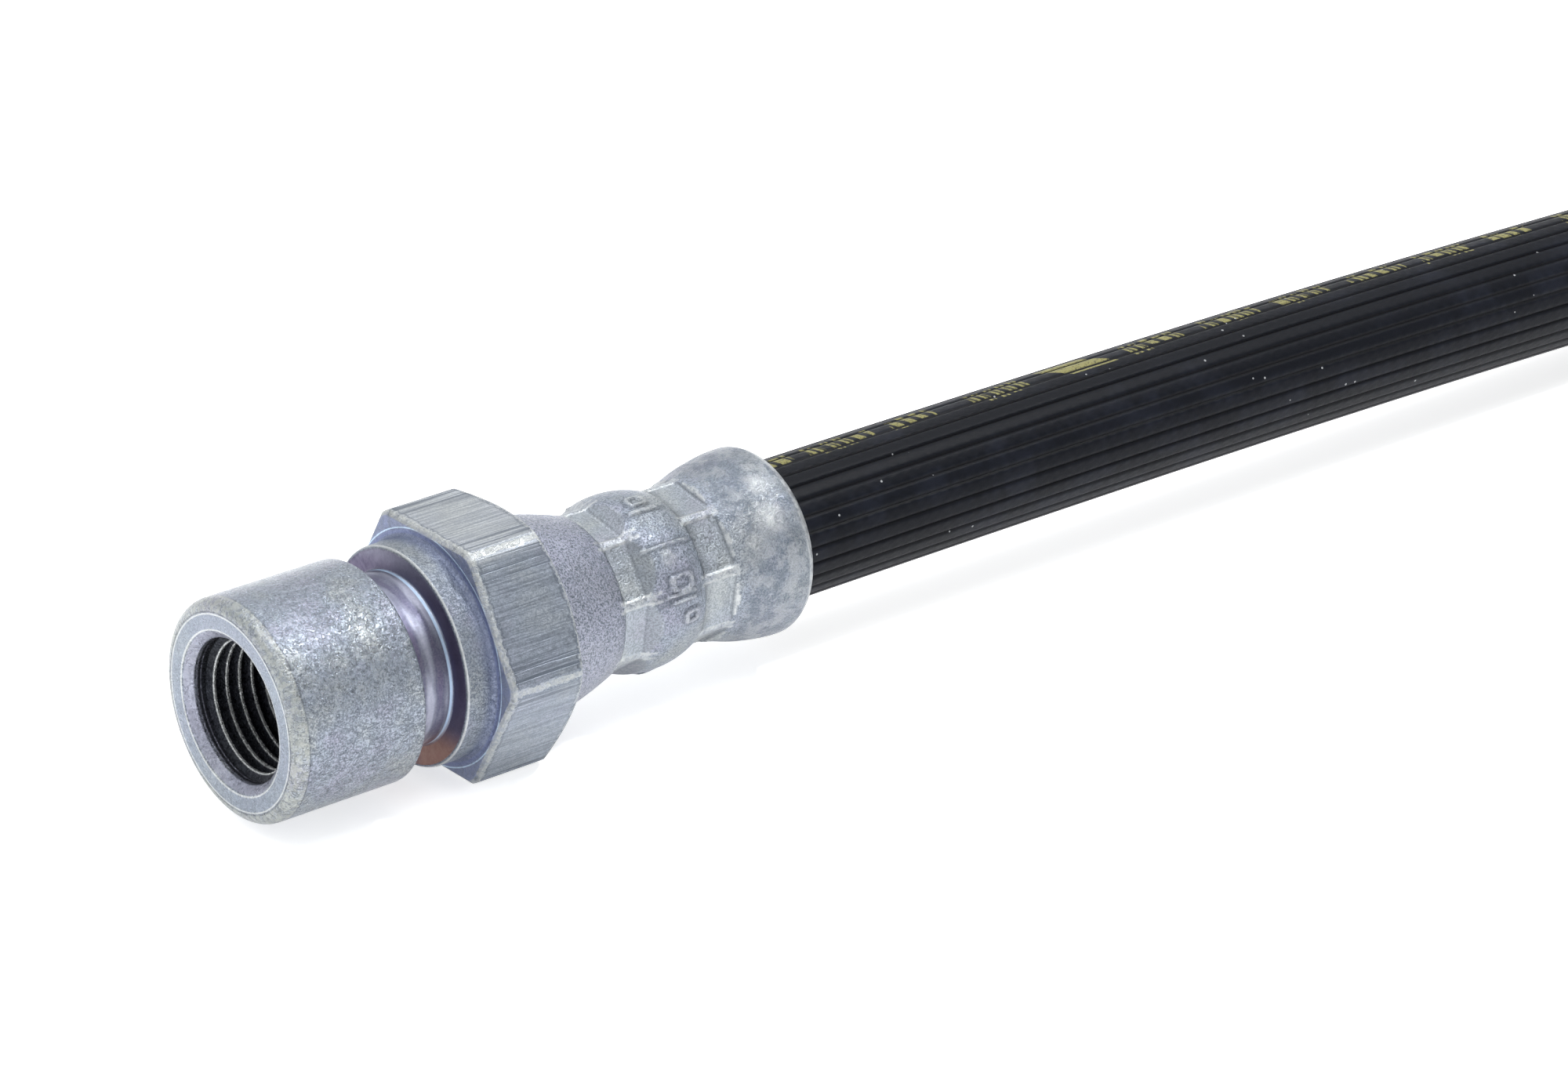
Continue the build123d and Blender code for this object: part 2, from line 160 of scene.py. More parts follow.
# ---------------------------------------------------------------- mesh work
def deselect() -> None:
    """Leave object mode clean, with nothing selected."""
    if bpy.context.object and bpy.context.object.mode != "OBJECT":
        bpy.ops.object.mode_set(mode="OBJECT")
    bpy.ops.object.select_all(action="DESELECT")


class Workpiece:
    """A mesh that is shaped in edit mode, the way a turner and a miller would."""

    def __init__(self, name: str) -> None:
        """Start from a small plane merged to one point on the axis.

        Args:
            name: name of the finished piece.
        """
        deselect()
        bpy.ops.mesh.primitive_plane_add(size=MM)
        self.obj = bpy.context.object
        self.obj.name = self.obj.data.name = name
        bpy.ops.object.mode_set(mode="EDIT")
        bpy.ops.mesh.select_mode(type="VERT")
        bpy.ops.mesh.select_all(action="SELECT")
        bpy.ops.mesh.merge(type="CENTER")

    @property
    def mesh(self) -> bmesh.types.BMesh:
        """The mesh under edit."""
        return bmesh.from_edit_mesh(self.obj.data)

    def pick(self, test: Callable[[Vector], bool]) -> int:
        """Select the vertices that pass a test.

        Args:
            test: takes a place in millimetres.

        Returns:
            How many were selected.
        """
        bpy.ops.mesh.select_all(action="DESELECT")
        mesh, found = self.mesh, 0
        for vert in mesh.verts:
            if test(vert.co / MM):
                vert.select = True
                found += 1
        mesh.select_flush(True)
        bmesh.update_edit_mesh(self.obj.data)
        return found

    def draw(self, points: Sequence[Point]) -> None:
        """Draw a closed half section by extruding one vertex from point to point.

        Args:
            points: (station, radius) pairs in order round the section.
        """
        bpy.ops.transform.translate(value=(points[0][0] * MM, 0, points[0][1] * MM))
        for (x0, r0), (x1, r1) in zip(points, points[1:]):
            step = ((x1 - x0) * MM, 0, (r1 - r0) * MM)
            bpy.ops.mesh.extrude_vertices_move(TRANSFORM_OT_translate={"value": step})
        self.pick(lambda p: near(p, points[0]) or near(p, points[-1]))
        bpy.ops.mesh.edge_face_add()

    def round_off(self, corner: Point, reach: float, segments: int = 6) -> None:
        """Round one corner of the section.

        Args:
            corner: its (station, radius).
            reach: how far along each side the rounding starts.
            segments: flats that make up the curve.
        """
        self.pick(lambda p: near(p, corner))
        bpy.ops.mesh.bevel(affect="VERTICES", offset=reach * MM, segments=segments)

    def spin(self, steps: int) -> None:
        """Turn the section once round the X axis and close it.

        Args:
            steps: segments round the axis.
        """
        bpy.ops.mesh.select_all(action="SELECT")
        bpy.ops.mesh.spin(steps=steps, angle=math.tau, center=(0, 0, 0), axis=(1, 0, 0))
        bpy.ops.mesh.select_all(action="SELECT")
        bpy.ops.mesh.remove_doubles(threshold=0.0005 * MM)
        bpy.ops.mesh.normals_make_consistent(inside=False)

    def mill_hexagon(self, station: float, radius: float, inset: float, rear: bool, end: End) -> None:
        """Push one turned ring out to the hexagon's outline.

        Args:
            station: where the ring is.
            radius: the ring's turned radius.
            inset: how far inside the full outline it goes.
            rear: whether it also moves to where the flats meet the rear cone.
            end: which end is being made.
        """
        turns: dict[float, list[int]] = {}
        for vert in self.mesh.verts:
            place = vert.co / MM
            if near(place, (station, radius)):
                fold = math.degrees(math.atan2(place.z, place.y)) % 60
                turns.setdefault(round(abs(fold - 30), 2), []).append(vert.index)
        for turn, members in turns.items():
            self.pick_members(members)
            grow = HEXAGON.outline(turn, inset) / radius
            bpy.ops.transform.resize(value=(1, grow, grow), center_override=(station * MM, 0, 0))
            if rear:
                shift = HEXAGON.rear(end.shoulder, end.value, turn) - station
                bpy.ops.transform.translate(value=(shift * MM, 0, 0))

    def pick_members(self, members: Sequence[int]) -> None:
        """Select vertices by their numbers.

        Args:
            members: the numbers.
        """
        bpy.ops.mesh.select_all(action="DESELECT")
        mesh = self.mesh
        mesh.verts.ensure_lookup_table()
        for index in members:
            mesh.verts[index].select = True
        mesh.select_flush(True)
        bmesh.update_edit_mesh(self.obj.data)

    def soften(self, sharper_than: float, reach: float, segments: int = 2) -> None:
        """Break every sharp edge.

        Args:
            sharper_than: angle in degrees past which an edge counts as sharp.
            reach: width of the break on each side.
            segments: flats in each break.
        """
        bpy.ops.mesh.select_all(action="DESELECT")
        bpy.ops.mesh.select_mode(type="EDGE")
        bpy.ops.mesh.edges_select_sharp(sharpness=math.radians(sharper_than))
        bpy.ops.mesh.bevel(affect="EDGES", offset=reach * MM, segments=segments, clamp_overlap=True)
        bpy.ops.mesh.select_mode(type="VERT")

    def done(self, smooth_below: float = 40.0) -> bpy.types.Object:
        """Leave edit mode and shade the piece.

        Args:
            smooth_below: edges blunter than this many degrees are shaded smooth.

        Returns:
            The finished object.
        """
        bpy.ops.object.mode_set(mode="OBJECT")
        bpy.ops.object.shade_smooth_by_angle(angle=math.radians(smooth_below))
        return self.obj


def near(place: Vector, corner: Point, slack: float = 0.004) -> bool:
    """Whether a place lies on the ring at a (station, radius)."""
    return abs(place.x - corner[0]) < slack and abs(math.hypot(place.y, place.z) - corner[1]) < slack


def arc(start: Point, middle: Point, end: Point, steps: int) -> list[Point]:
    """Points along the circle through three points, both ends included.

    Args:
        start: first point.
        middle: a point on the way.
        end: last point.
        steps: number of equal parts.

    Returns:
        The points in order.
    """
    (ax, ay), (bx, by), (cx, cy) = start, middle, end
    d = 2 * (ax * (by - cy) + bx * (cy - ay) + cx * (ay - by))
    squares = ax**2 + ay**2, bx**2 + by**2, cx**2 + cy**2
    ux = (squares[0] * (by - cy) + squares[1] * (cy - ay) + squares[2] * (ay - by)) / d
    uy = (squares[0] * (cx - bx) + squares[1] * (ax - cx) + squares[2] * (bx - ax)) / d
    radius = math.hypot(ax - ux, ay - uy)
    first, last = math.atan2(ay - uy, ax - ux), math.atan2(cy - uy, cx - ux)
    sweep = (last - first + math.pi) % math.tau - math.pi
    angles = [first + sweep * k / steps for k in range(steps + 1)]
    return [(ux + radius * math.cos(a), uy + radius * math.sin(a)) for a in angles]


def hermite(start: Point, end: Point, slopes: Point, steps: int) -> list[Point]:
    """Points along a cubic between two points, both ends included.

    Args:
        start: first point.
        end: last point.
        slopes: slope at the first point and at the last.
        steps: number of equal parts.

    Returns:
        The points in order.
    """
    (x0, y0), (x1, y1) = start, end
    run = x1 - x0
    points = []
    for k in range(steps + 1):
        t = k / steps
        a, b = 2 * t**3 - 3 * t**2 + 1, t**3 - 2 * t**2 + t
        c, d = 3 * t**2 - 2 * t**3, t**3 - t**2
        points.append((x0 + run * t, a * y0 + b * run * slopes[0] + c * y1 + d * run * slopes[1]))
    return points


def straight(start: Point, end: Point, steps: int) -> list[Point]:
    """Points along a line, both ends included.

    Args:
        start: first point.
        end: last point.
        steps: number of equal parts.

    Returns:
        The points in order.
    """
    (x0, y0), (x1, y1) = start, end
    return [(x0 + (x1 - x0) * k / steps, y0 + (y1 - y0) * k / steps) for k in range(steps + 1)]


def fasten(piece: bpy.types.Object, node: str, material: bpy.types.Material) -> None:
    """Dress a new piece, ride it on the hose and let it stand for its CAD node.

    Args:
        piece: the finished object.
        node: CAD node that it replaces.
        material: its finish.
    """
    piece.data.materials.clear()
    piece.data.materials.append(material)
    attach(piece, ROOT)
    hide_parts(node)
    LOG.info("%s stands for %s, %d faces", piece.name, node, len(piece.data.polygons))


# ---------------------------------------------------------------- node trees
@dataclass(frozen=True)
class Value:
    """A number that varies over a surface, with the usual arithmetic."""

    sheet: "NodeSheet"
    socket: Socket

    def __add__(self, other: "Value | float") -> "Value":
        """Sum."""
        return self.sheet.math("ADD", self, other)

    def __sub__(self, other: "Value | float") -> "Value":
        """Difference."""
        return self.sheet.math("SUBTRACT", self, other)

    def __rsub__(self, other: float) -> "Value":
        """Difference from a plain number."""
        return self.sheet.math("SUBTRACT", other, self)

    def __mul__(self, other: "Value | float") -> "Value":
        """Product."""
        return self.sheet.math("MULTIPLY", self, other)

    def __abs__(self) -> "Value":
        """Size without its sign."""
        return self.sheet.math("ABSOLUTE", self)

    def most(self, other: "Value | float") -> "Value":
        """The larger of two."""
        return self.sheet.math("MAXIMUM", self, other)

    def least(self, other: "Value | float") -> "Value":
        """The smaller of two."""
        return self.sheet.math("MINIMUM", self, other)

    def below(self, limit: "Value | float") -> "Value":
        """1 where it is under a limit, and 0 elsewhere."""
        return self.sheet.math("LESS_THAN", self, limit)

    def above(self, limit: "Value | float") -> "Value":
        """1 where it is over a limit, and 0 elsewhere."""
        return self.sheet.math("GREATER_THAN", self, limit)

    def whole(self) -> "Value":
        """Its whole part."""
        return self.sheet.math("FLOOR", self)

    def part(self) -> "Value":
        """What is left of it past its whole part."""
        return self.sheet.math("FRACT", self)

    def sine(self) -> "Value":
        """Its sine, taken as an angle in radians."""
        return self.sheet.math("SINE", self)

    def band(self, low: float, high: float) -> "Value":
        """Smooth step from 0 at one value to 1 at another, whichever is larger.

        Args:
            low: where the step is 0.
            high: where it is 1.

        Returns:
            The step.
        """
        node = self.sheet.tree.nodes.new("ShaderNodeMapRange")
        node.interpolation_type = "SMOOTHSTEP"
        self.sheet.feed(node.inputs["Value"], self)
        ends = (0.0, 1.0) if low <= high else (1.0, 0.0)
        limits = (min(low, high), max(low, high), *ends)
        for name, limit in zip(("From Min", "From Max", "To Min", "To Max"), limits):
            node.inputs[name].default_value = limit
        return Value(self.sheet, node.outputs[0])

    def within(self, low: float, high: float, edge: float = 0.06) -> "Value":
        """1 between two values with soft ends, and 0 outside."""
        return self.band(low - edge, low) * self.band(high + edge, high)

    def line(self, middle: float, half: float) -> "Value":
        """1 on a thin line where it is near a middle, and 0 elsewhere."""
        return abs(self - middle).band(half, half * 0.35)


class NodeSheet:
    """Node tree of one material, with short calls for the nodes that the finishes use."""

    def __init__(self, name: str) -> None:
        """Make the material with one shader.

        Args:
            name: the material's name.
        """
        self.material = bpy.data.materials.new(name)
        self.material.use_nodes = True
        self.tree = self.material.node_tree
        self.tree.nodes.clear()
        self.shader = self.tree.nodes.new("ShaderNodeBsdfPrincipled")
        output = self.tree.nodes.new("ShaderNodeOutputMaterial")
        self.tree.links.new(self.shader.outputs[0], output.inputs[0])

    def feed(self, socket: Socket, value: "Value | Socket | Triple | float") -> None:
        """Link a socket to another, or set its own value.

        Args:
            socket: the input to feed.
            value: a value, a socket, a colour, a vector or a number.
        """
        if isinstance(value, Value):
            value = value.socket
        if isinstance(value, bpy.types.NodeSocket):
            self.tree.links.new(value, socket)
        else:
            socket.default_value = (*value, 1.0) if socket.type == "RGBA" else value

    def math(self, operation: str, *values: Value | float, clamp: bool = False) -> Value:
        """One step of arithmetic.

        Args:
            operation: name of the math node's operation.
            values: what it works on.
            clamp: whether the result is kept from 0 to 1.

        Returns:
            The result.
        """
        node = self.tree.nodes.new("ShaderNodeMath")
        node.operation, node.use_clamp = operation, clamp
        for socket, value in zip(node.inputs, values):
            self.feed(socket, value)
        return Value(self, node.outputs[0])

    def vector(self, operation: str, vector: Socket, other: Triple) -> bpy.types.Node:
        """A vector math node on a vector and a fixed one.

        Args:
            operation: name of the node's operation.
            vector: the vector it works on.
            other: the fixed vector.

        Returns:
            The node.
        """
        node = self.tree.nodes.new("ShaderNodeVectorMath")
        node.operation = operation
        self.feed(node.inputs[0], vector)
        node.inputs[1].default_value = other
        return node

    def place(self) -> Socket:
        """Place on the object in millimetres."""
        coordinates = self.tree.nodes.new("ShaderNodeTexCoord")
        return self.scaled(coordinates.outputs["Object"], (1 / MM, 1 / MM, 1 / MM))

    def scaled(self, vector: Socket, scale: Triple) -> Socket:
        """A vector stretched along each axis."""
        return self.vector("MULTIPLY", vector, scale).outputs[0]

    def away(self, vector: Socket, centre: Triple) -> Value:
        """Distance of a place from a fixed one."""
        return Value(self, self.vector("DISTANCE", vector, centre).outputs["Value"])

    def split(self, vector: Socket) -> tuple[Value, ...]:
        """The three parts of a vector.

        Args:
            vector: the vector, or a colour.

        Returns:
            Its parts in order.
        """
        node = self.tree.nodes.new("ShaderNodeSeparateXYZ")
        self.feed(node.inputs[0], vector)
        return tuple(Value(self, output) for output in node.outputs)

    def join(self, *parts: Value | float) -> Socket:
        """A vector from three parts.

        Args:
            parts: the parts in order.

        Returns:
            The vector.
        """
        node = self.tree.nodes.new("ShaderNodeCombineXYZ")
        for socket, value in zip(node.inputs, parts):
            self.feed(socket, value)
        return node.outputs[0]

    def noise(
        self, vector: Socket, scale: float, detail: float = 3.0, rough: float = 0.55, bend: float = 0.0
    ) -> Value:
        """Cloudy noise from 0 to 1.

        Args:
            vector: where it is read, in millimetres.
            scale: lumps to the millimetre.
            detail: octaves.
            rough: share of the finer octaves.
            bend: distortion.

        Returns:
            The noise's value.
        """
        node = self.tree.nodes.new("ShaderNodeTexNoise")
        self.feed(node.inputs["Vector"], vector)
        settings = {"Scale": scale, "Detail": detail, "Roughness": rough, "Distortion": bend}
        for name, value in settings.items():
            node.inputs[name].default_value = value
        return Value(self, node.outputs[0])

    def streaks(
        self, vector: Socket, scale: Triple, detail: float = 3.0, rough: float = 0.55, bend: float = 0.0
    ) -> Value:
        """Noise as above, with its own number of lumps to the millimetre along each axis."""
        return self.noise(self.scaled(vector, scale), 1.0, detail, rough, bend)

    def cell(self, value: Value) -> Value:
        """A random number from 0 to 1 for each whole number.

        Args:
            value: the whole number.

        Returns:
            The random number.
        """
        node = self.tree.nodes.new("ShaderNodeTexWhiteNoise")
        node.noise_dimensions = "1D"
        self.feed(node.inputs["W"], value)
        return Value(self, node.outputs["Value"])

    def mix(self, share: Value | float, one: Socket | Colour, two: Socket | Colour) -> Socket:
        """Blend of two colours.

        Args:
            share: 0 for the first colour and 1 for the second.
            one: first colour.
            two: second colour.

        Returns:
            The blend.
        """
        node = self.tree.nodes.new("ShaderNodeMix")
        node.data_type = "RGBA"
        for socket, value in ((node.inputs[0], share), (node.inputs[6], one), (node.inputs[7], two)):
            self.feed(socket, value)
        return node.outputs[2]

    def ramp(self, value: Value, stops: Sequence[tuple[float, Colour]]) -> Socket:
        """Colour ramp.

        Args:
            value: where on the ramp, from 0 to 1.
            stops: (position, colour) of each stop in order.

        Returns:
            The colour.
        """
        node = self.tree.nodes.new("ShaderNodeValToRGB")
        self.feed(node.inputs[0], value)
        elements = node.color_ramp.elements
        while len(elements) < len(stops):
            elements.new(0.5)
        for element, (position, colour) in zip(elements, stops):
            element.position, element.color = position, (*colour, 1.0)
        return node.outputs[0]

    def bump(self, height: Value, depth: float) -> None:
        """Give the surface relief.

        Args:
            height: value from 0 to 1.
            depth: what a height of 1 stands for, in millimetres.
        """
        node = self.tree.nodes.new("ShaderNodeBump")
        node.inputs["Strength"].default_value = 1.0
        node.inputs["Distance"].default_value = depth * MM
        self.feed(node.inputs["Height"], height)
        self.feed(self.shader.inputs["Normal"], node.outputs[0])

    def dress(self, **settings: Value | Socket | Colour | float) -> bpy.types.Material:
        """Set the shader's sockets.

        Args:
            settings: a value for each socket by its name, with _ for a space.

        Returns:
            The finished material.
        """
        for name, value in settings.items():
            self.feed(self.shader.inputs[name.replace("_", " ")], value)
        return self.material


# ---------------------------------------------------------------- finishes
@dataclass(frozen=True)
class ZincTones:
    """Colours of the blue passivated zinc, as linear values."""

    steel: Colour = (0.302, 0.337, 0.390)
    lilac: Colour = (0.318, 0.325, 0.400)
    sage: Colour = (0.345, 0.368, 0.373)
    # Light tone of the painted highlights and of the lighter top flat, also used for the ferrules' mottling.
    bright: Colour = (0.540, 0.555, 0.555)
    # Dark tone of the grain, also used for painted shade lines and painted dark reflections.
    speck: Colour = (0.105, 0.122, 0.150)
    # Dark tone of the mouth's thin line and of the painted shade in the ferrules' creases.
    pit_and_shade: Colour = (0.060, 0.070, 0.085)
    # Dark tones of the painted shade in the turned groove and of the painted dark reflection on the collar
    # face.
    violet: Colour = (0.085, 0.070, 0.130)
    dusk: Colour = (0.085, 0.082, 0.135)
    slate: Colour = (0.150, 0.155, 0.210)
    # Copper tone, partly the plate's own and partly a painted reflection.
    copper: Colour = (0.300, 0.170, 0.130)
    # Dark blue of the painted shade by the hexagon and of the painted dark reflection on the hexagon's front
    # face.
    blue: Colour = (0.160, 0.190, 0.330)
    # Light blue of the painted highlight rings.
    azure: Colour = (0.560, 0.720, 0.900)
    # Tone of the edge bands: wear, together with a painted highlight.
    wear_and_highlight: Colour = (0.440, 0.450, 0.430)
    mouth_face: Colour = (0.215, 0.250, 0.305)
    mouth_rim: Colour = (0.370, 0.380, 0.340)
    # Near black of the painted shade inside the port's bore.
    bore: Colour = (0.012, 0.013, 0.018)


class Plate:
    """Zinc plate that the bodies and the ferrules share: its grain and its drifting colour."""

    speckled: float = 0.84
    mottled: float = 0.26

    def __init__(self, name: str, tones: ZincTones) -> None:
        """Start a material and lay its grain.

        Args:
            name: the material's name.
            tones: colours of the plate.
        """
        self.sheet, self.tones = NodeSheet(name), tones
        self.place = self.sheet.place()
        self.x, self.y, self.z = self.sheet.split(self.place)
        self.fine = self.sheet.noise(self.place, 7.2, 2.0, 0.75).band(0.38, 0.60)
        self.middling = self.sheet.noise(self.place, 2.4, 4.0, 0.66, 0.5).band(0.36, 0.64)
        drift = self.sheet.noise(self.place, 0.24, 3.0)
        self.colour = self.sheet.ramp(drift, [(0.36, tones.lilac), (0.5, tones.steel), (0.64, tones.sage)])
        self.tint((1.0 - self.fine) * self.speckled, tones.speck)
        self.tint((1.0 - self.middling) * self.mottled, tones.speck)

    def tint(self, share: Value, colour: Socket | Colour) -> None:
        """Blend a colour over what is there so far."""
        self.colour = self.sheet.mix(share, self.colour, colour)


@dataclass(frozen=True)
class ZincFinish:
    """Zinc plate on a turned and milled body, with etched, turned and drawn stretches."""

    name: str
    end: End
    front: float
    turned_from: float
    turned_to: float
    collar_face: float = 13.6
    bore: float = 5.05
    relief: float = 0.030
    tones: ZincTones = field(default_factory=ZincTones)

    def material(self) -> bpy.types.Material:
        """Build the node tree.

        Returns:
            The finished material.
        """
        plate = Plate(self.name, self.tones)
        sheet, side = plate.sheet, float(self.end.value)
        radius = sheet.math("SQRT", plate.y * plate.y + plate.z * plate.z)
        along = plate.x * side
        wrinkle = self.wrinkle(plate)
        plate.tint(wrinkle * 0.92, self.tones.speck)
        low, high = sorted((self.turned_from * side, self.turned_to * side))
        turned = along.within(low, high, 0.05)
        self.tint_turned(plate, turned, radius, along)
        hexagon, flats = self.tint_hexagon(plate, radius, along)
        if self.end is End.FEMALE:
            self.tint_mouth(plate, radius)
        rough = plate.middling * 0.14 + 0.21 + turned * 0.20 + hexagon * 0.22
        etched = plate.fine * 0.45 + plate.middling * 0.55 - wrinkle
        height = etched + hexagon * (flats - etched)
        calm = 1.0 - turned * radius.band(7.5, 7.3) * 0.85
        sheet.bump(height * calm, self.relief)
        return sheet.dress(Base_Color=plate.colour, Roughness=rough, Metallic=0.9)

    def wrinkle(self, plate: Plate) -> Value:
        """Short wrinkles that wander along the barrel, denser towards the ground.

        Args:
            plate: the plate so far.

        Returns:
            Their mask.
        """
        stroke = plate.sheet.streaks(plate.place, (1.1, 2.7, 2.7), 3.0, 0.6, 0.9)
        gate = plate.sheet.streaks(plate.place, (0.9, 1.2, 1.2), 1.0)
        low = plate.z.band(5.0, -4.5)
        return abs(stroke - 0.5).band(0.040, 0.008) * gate.band(0.66, 0.53) * (low * 0.6 + 0.4)

    def tint_turned(self, plate: Plate, turned: Value, radius: Value, along: Value) -> None:
        """Tint the clip groove, the collar and the faces on both sides of them, with painted shade in the
        groove and by the hexagon, painted dark reflections and a lighter top on the faces, and painted
        highlights on the collar's edge and in two thin rings.

        Args:
            plate: the plate so far.
            turned: mask of the stretch that is left as turned.
            radius: distance from the axis.
            along: station, growing towards the hose.
        """
        tones, x, z, front = self.tones, plate.x, plate.z, self.end.value * self.front
        # Painted shade: the floor of the turned groove is painted dark violet.
        cloud = plate.sheet.streaks(plate.place, (0.9, 0.16, 0.16), 2.0)
        stops = [(0.36, tones.violet), (0.46, tones.dusk), (0.54, tones.slate), (0.66, tones.lilac)]
        deep = turned * radius.band(7.35, 6.9)
        plate.tint(deep * 0.80, plate.sheet.ramp(cloud, stops))
        collar = turned * (1.0 - deep)
        # Painted shade: the collar darkens and turns blue towards its corner at the hexagon.
        plate.tint(collar * along.band(front - 1.3, front) * 0.6, tones.blue)
        plate.tint(collar * 0.30, tones.speck)
        if self.end is End.MALE:
            return
        at = self.collar_face
        # Painted dark reflection: the collar's front face is painted dark violet.
        face = x.within(at - 0.045, at + 0.04, 0.02) * radius.within(6.2, 7.45, 0.05)
        plate.tint(face * 0.88, tones.violet)
        # Copper at the bottom of the groove and the collar face: partly the plate's own tint, partly a
        # painted reflection.
        foot = z.band(-2.8, -5.2) * plate.y.band(-0.5, -2.5)
        plate.tint(foot * (deep * 0.5).most(face) * 0.85, tones.copper)
        # Painted light: the top of the collar's front face is painted lighter.
        plate.tint(z.band(5.2, 7.2) * face * 0.4, tones.lilac)
        # Painted dark reflection: the hexagon's front face is painted dark blue.
        hexagon_face = x.within(front - 0.05, front + 0.03, 0.02) * radius.band(7.85, 8.05)
        plate.tint(hexagon_face * 0.78, tones.blue)
        # Painted highlight along the collar's rounded front edge.
        plate.tint(x.line(at + 0.10, 0.09) * radius.band(7.3, 7.5) * 0.60, tones.bright)
        # Painted highlights: a light blue ring in the groove's corner at the collar face, and an arc on the
        # hexagon's front bevel.
        ring = (x.line(at - 0.18, 0.15) * radius.band(6.6, 6.4)).most(radius.line(8.32, 0.07) * hexagon_face)
        plate.tint(ring * 0.85, tones.azure)

    def tint_hexagon(self, plate: Plate, radius: Value, along: Value) -> tuple[Value, Value]:
        """Tint the drawn flats and the scratches near their edges, paint the top flat lighter as painted
        light, and tint the corners and chamfers with wear and a painted highlight, beside a painted shade
        line.

        Args:
            plate: the plate so far.
            radius: distance from the axis.
            along: station, growing towards the hose.

        Returns:
            The hexagon's mask and the relief of its flats.
        """
        sheet, tones, side, ragged = plate.sheet, self.tones, float(self.end.value), plate.middling
        sector = math.pi / 6
        fold = sector - sheet.math("PINGPONG", sheet.math("ARCTAN2", plate.z, plate.y), sector)
        lateral = sheet.math("TANGENT", fold) * HEXAGON.flat
        from_corner = HEXAGON.flat * HEXAGON.rear_slope - lateral
        from_front = along - (side * self.front + HEXAGON.front_bevel)
        from_rear = side * self.end.shoulder - along - (radius - HEXAGON.rear_radius) * HEXAGON.rear_slope
        hexagon = from_front.band(-0.32, -0.26) * radius.band(HEXAGON.flat - 0.5, HEXAGON.flat - 0.1)
        level = fold.band(math.radians(28.5), math.radians(27.5)) * hexagon

        streak = sheet.streaks(plate.place, (0.16, 5.5, 5.5), 3.0, 0.7).band(0.36, 0.64)
        deep = sheet.streaks(plate.place, (0.05, 2.6, 2.6), 2.0, 0.6)
        gouge = deep.band(0.49, 0.43) * from_corner.band(2.6, 1.5)
        # Painted light: every flat takes the plain steel tone, and the top flat is painted lighter.
        plate.tint(hexagon * 0.45, sheet.mix(plate.z.band(7.5, 8.3), tones.steel, tones.bright))
        plate.tint(level * (1.0 - streak) * 0.50, tones.speck)
        plate.tint(level * gouge * 0.80, tones.speck)

        nearest = (from_corner - 0.12).least(from_front.least(from_rear)) + (ragged - 0.5) * 0.22
        wear_and_highlight = nearest.band(0.20, 0.12) * hexagon
        # Painted shade: a dark line on the flats just beside the edge bands.
        plate.tint(nearest.line(0.27, 0.10) * hexagon * 0.55, tones.speck)
        # Edge bands on the corners and chamfers: wear, together with a painted highlight.
        plate.tint(wear_and_highlight * (ragged * 0.50 + 0.15), tones.wear_and_highlight)
        flats = streak * 0.25 - gouge * 0.5
        return hexagon, flats + wear_and_highlight * (ragged * 1.3 - flats)

    def tint_mouth(self, plate: Plate, radius: Value) -> None:
        """Tint the rim, front face and chamfer of the female port, with painted highlights on the edges and
        the thread crests, and painted shade in the bore.

        Args:
            plate: the plate so far.
            radius: distance from the axis.
        """
        tones, x, ragged = self.tones, plate.x, plate.middling
        front = x.band(0.08, 0.03)
        plate.tint(front * radius.within(5.7, 6.75, 0.05) * 0.6, tones.mouth_face)
        rim = x.band(1.0, 0.9) * radius.band(6.85, 6.95)
        plate.tint(rim * (ragged * 0.45 + 0.15), tones.mouth_rim)
        groove = (front * radius.line(6.92, 0.08)).most(x.line(0.98, 0.09) * radius.band(7.6, 7.7))
        plate.tint(groove * (ragged * -0.45 + 0.72), tones.pit_and_shade)
        lit = (front * radius.line(6.77, 0.08)).most(radius.line(5.68, 0.09) * x.band(0.2, 0.1))
        plate.tint(lit * 0.7, tones.bright)
        plate.tint(x.within(0.10, 0.62, 0.04) * radius.band(5.7, 5.6) * 0.7, tones.lilac)
        # Painted shade: the inside of the bore is painted nearly black.
        inside = radius.band(self.bore + 0.06, self.bore) * x.band(0.62, 0.95) * x.band(20.0, 18.0)
        plate.tint(inside * 0.93, tones.bore)
        lead = x.line(0.80, 0.10).most(x.line(1.12, 0.07)) * radius.band(5.6, 5.4)
        plate.tint(lead * 0.55, tones.lilac)
        # Painted highlight on the thread crests inside the bore.
        crest = radius.band(4.62, 4.56) * x.band(12.0, 10.5) * x.band(0.8, 1.2)
        plate.tint(crest * 0.85, tones.bright)


@dataclass(frozen=True)
class ReflectionSpot:
    """A painted patch on a ferrule's skin: a painted dark reflection where dark is set, and a painted
    highlight elsewhere.
    """

    station: float
    angle: float
    radius: float
    reach: float
    strength: float
    dark: bool

    def centre(self) -> Triple:
        """Its middle as (station, y, z), the angle being from +Y towards +Z."""
        turn = math.radians(self.angle)
        return self.station, self.radius * math.cos(turn), self.radius * math.sin(turn)


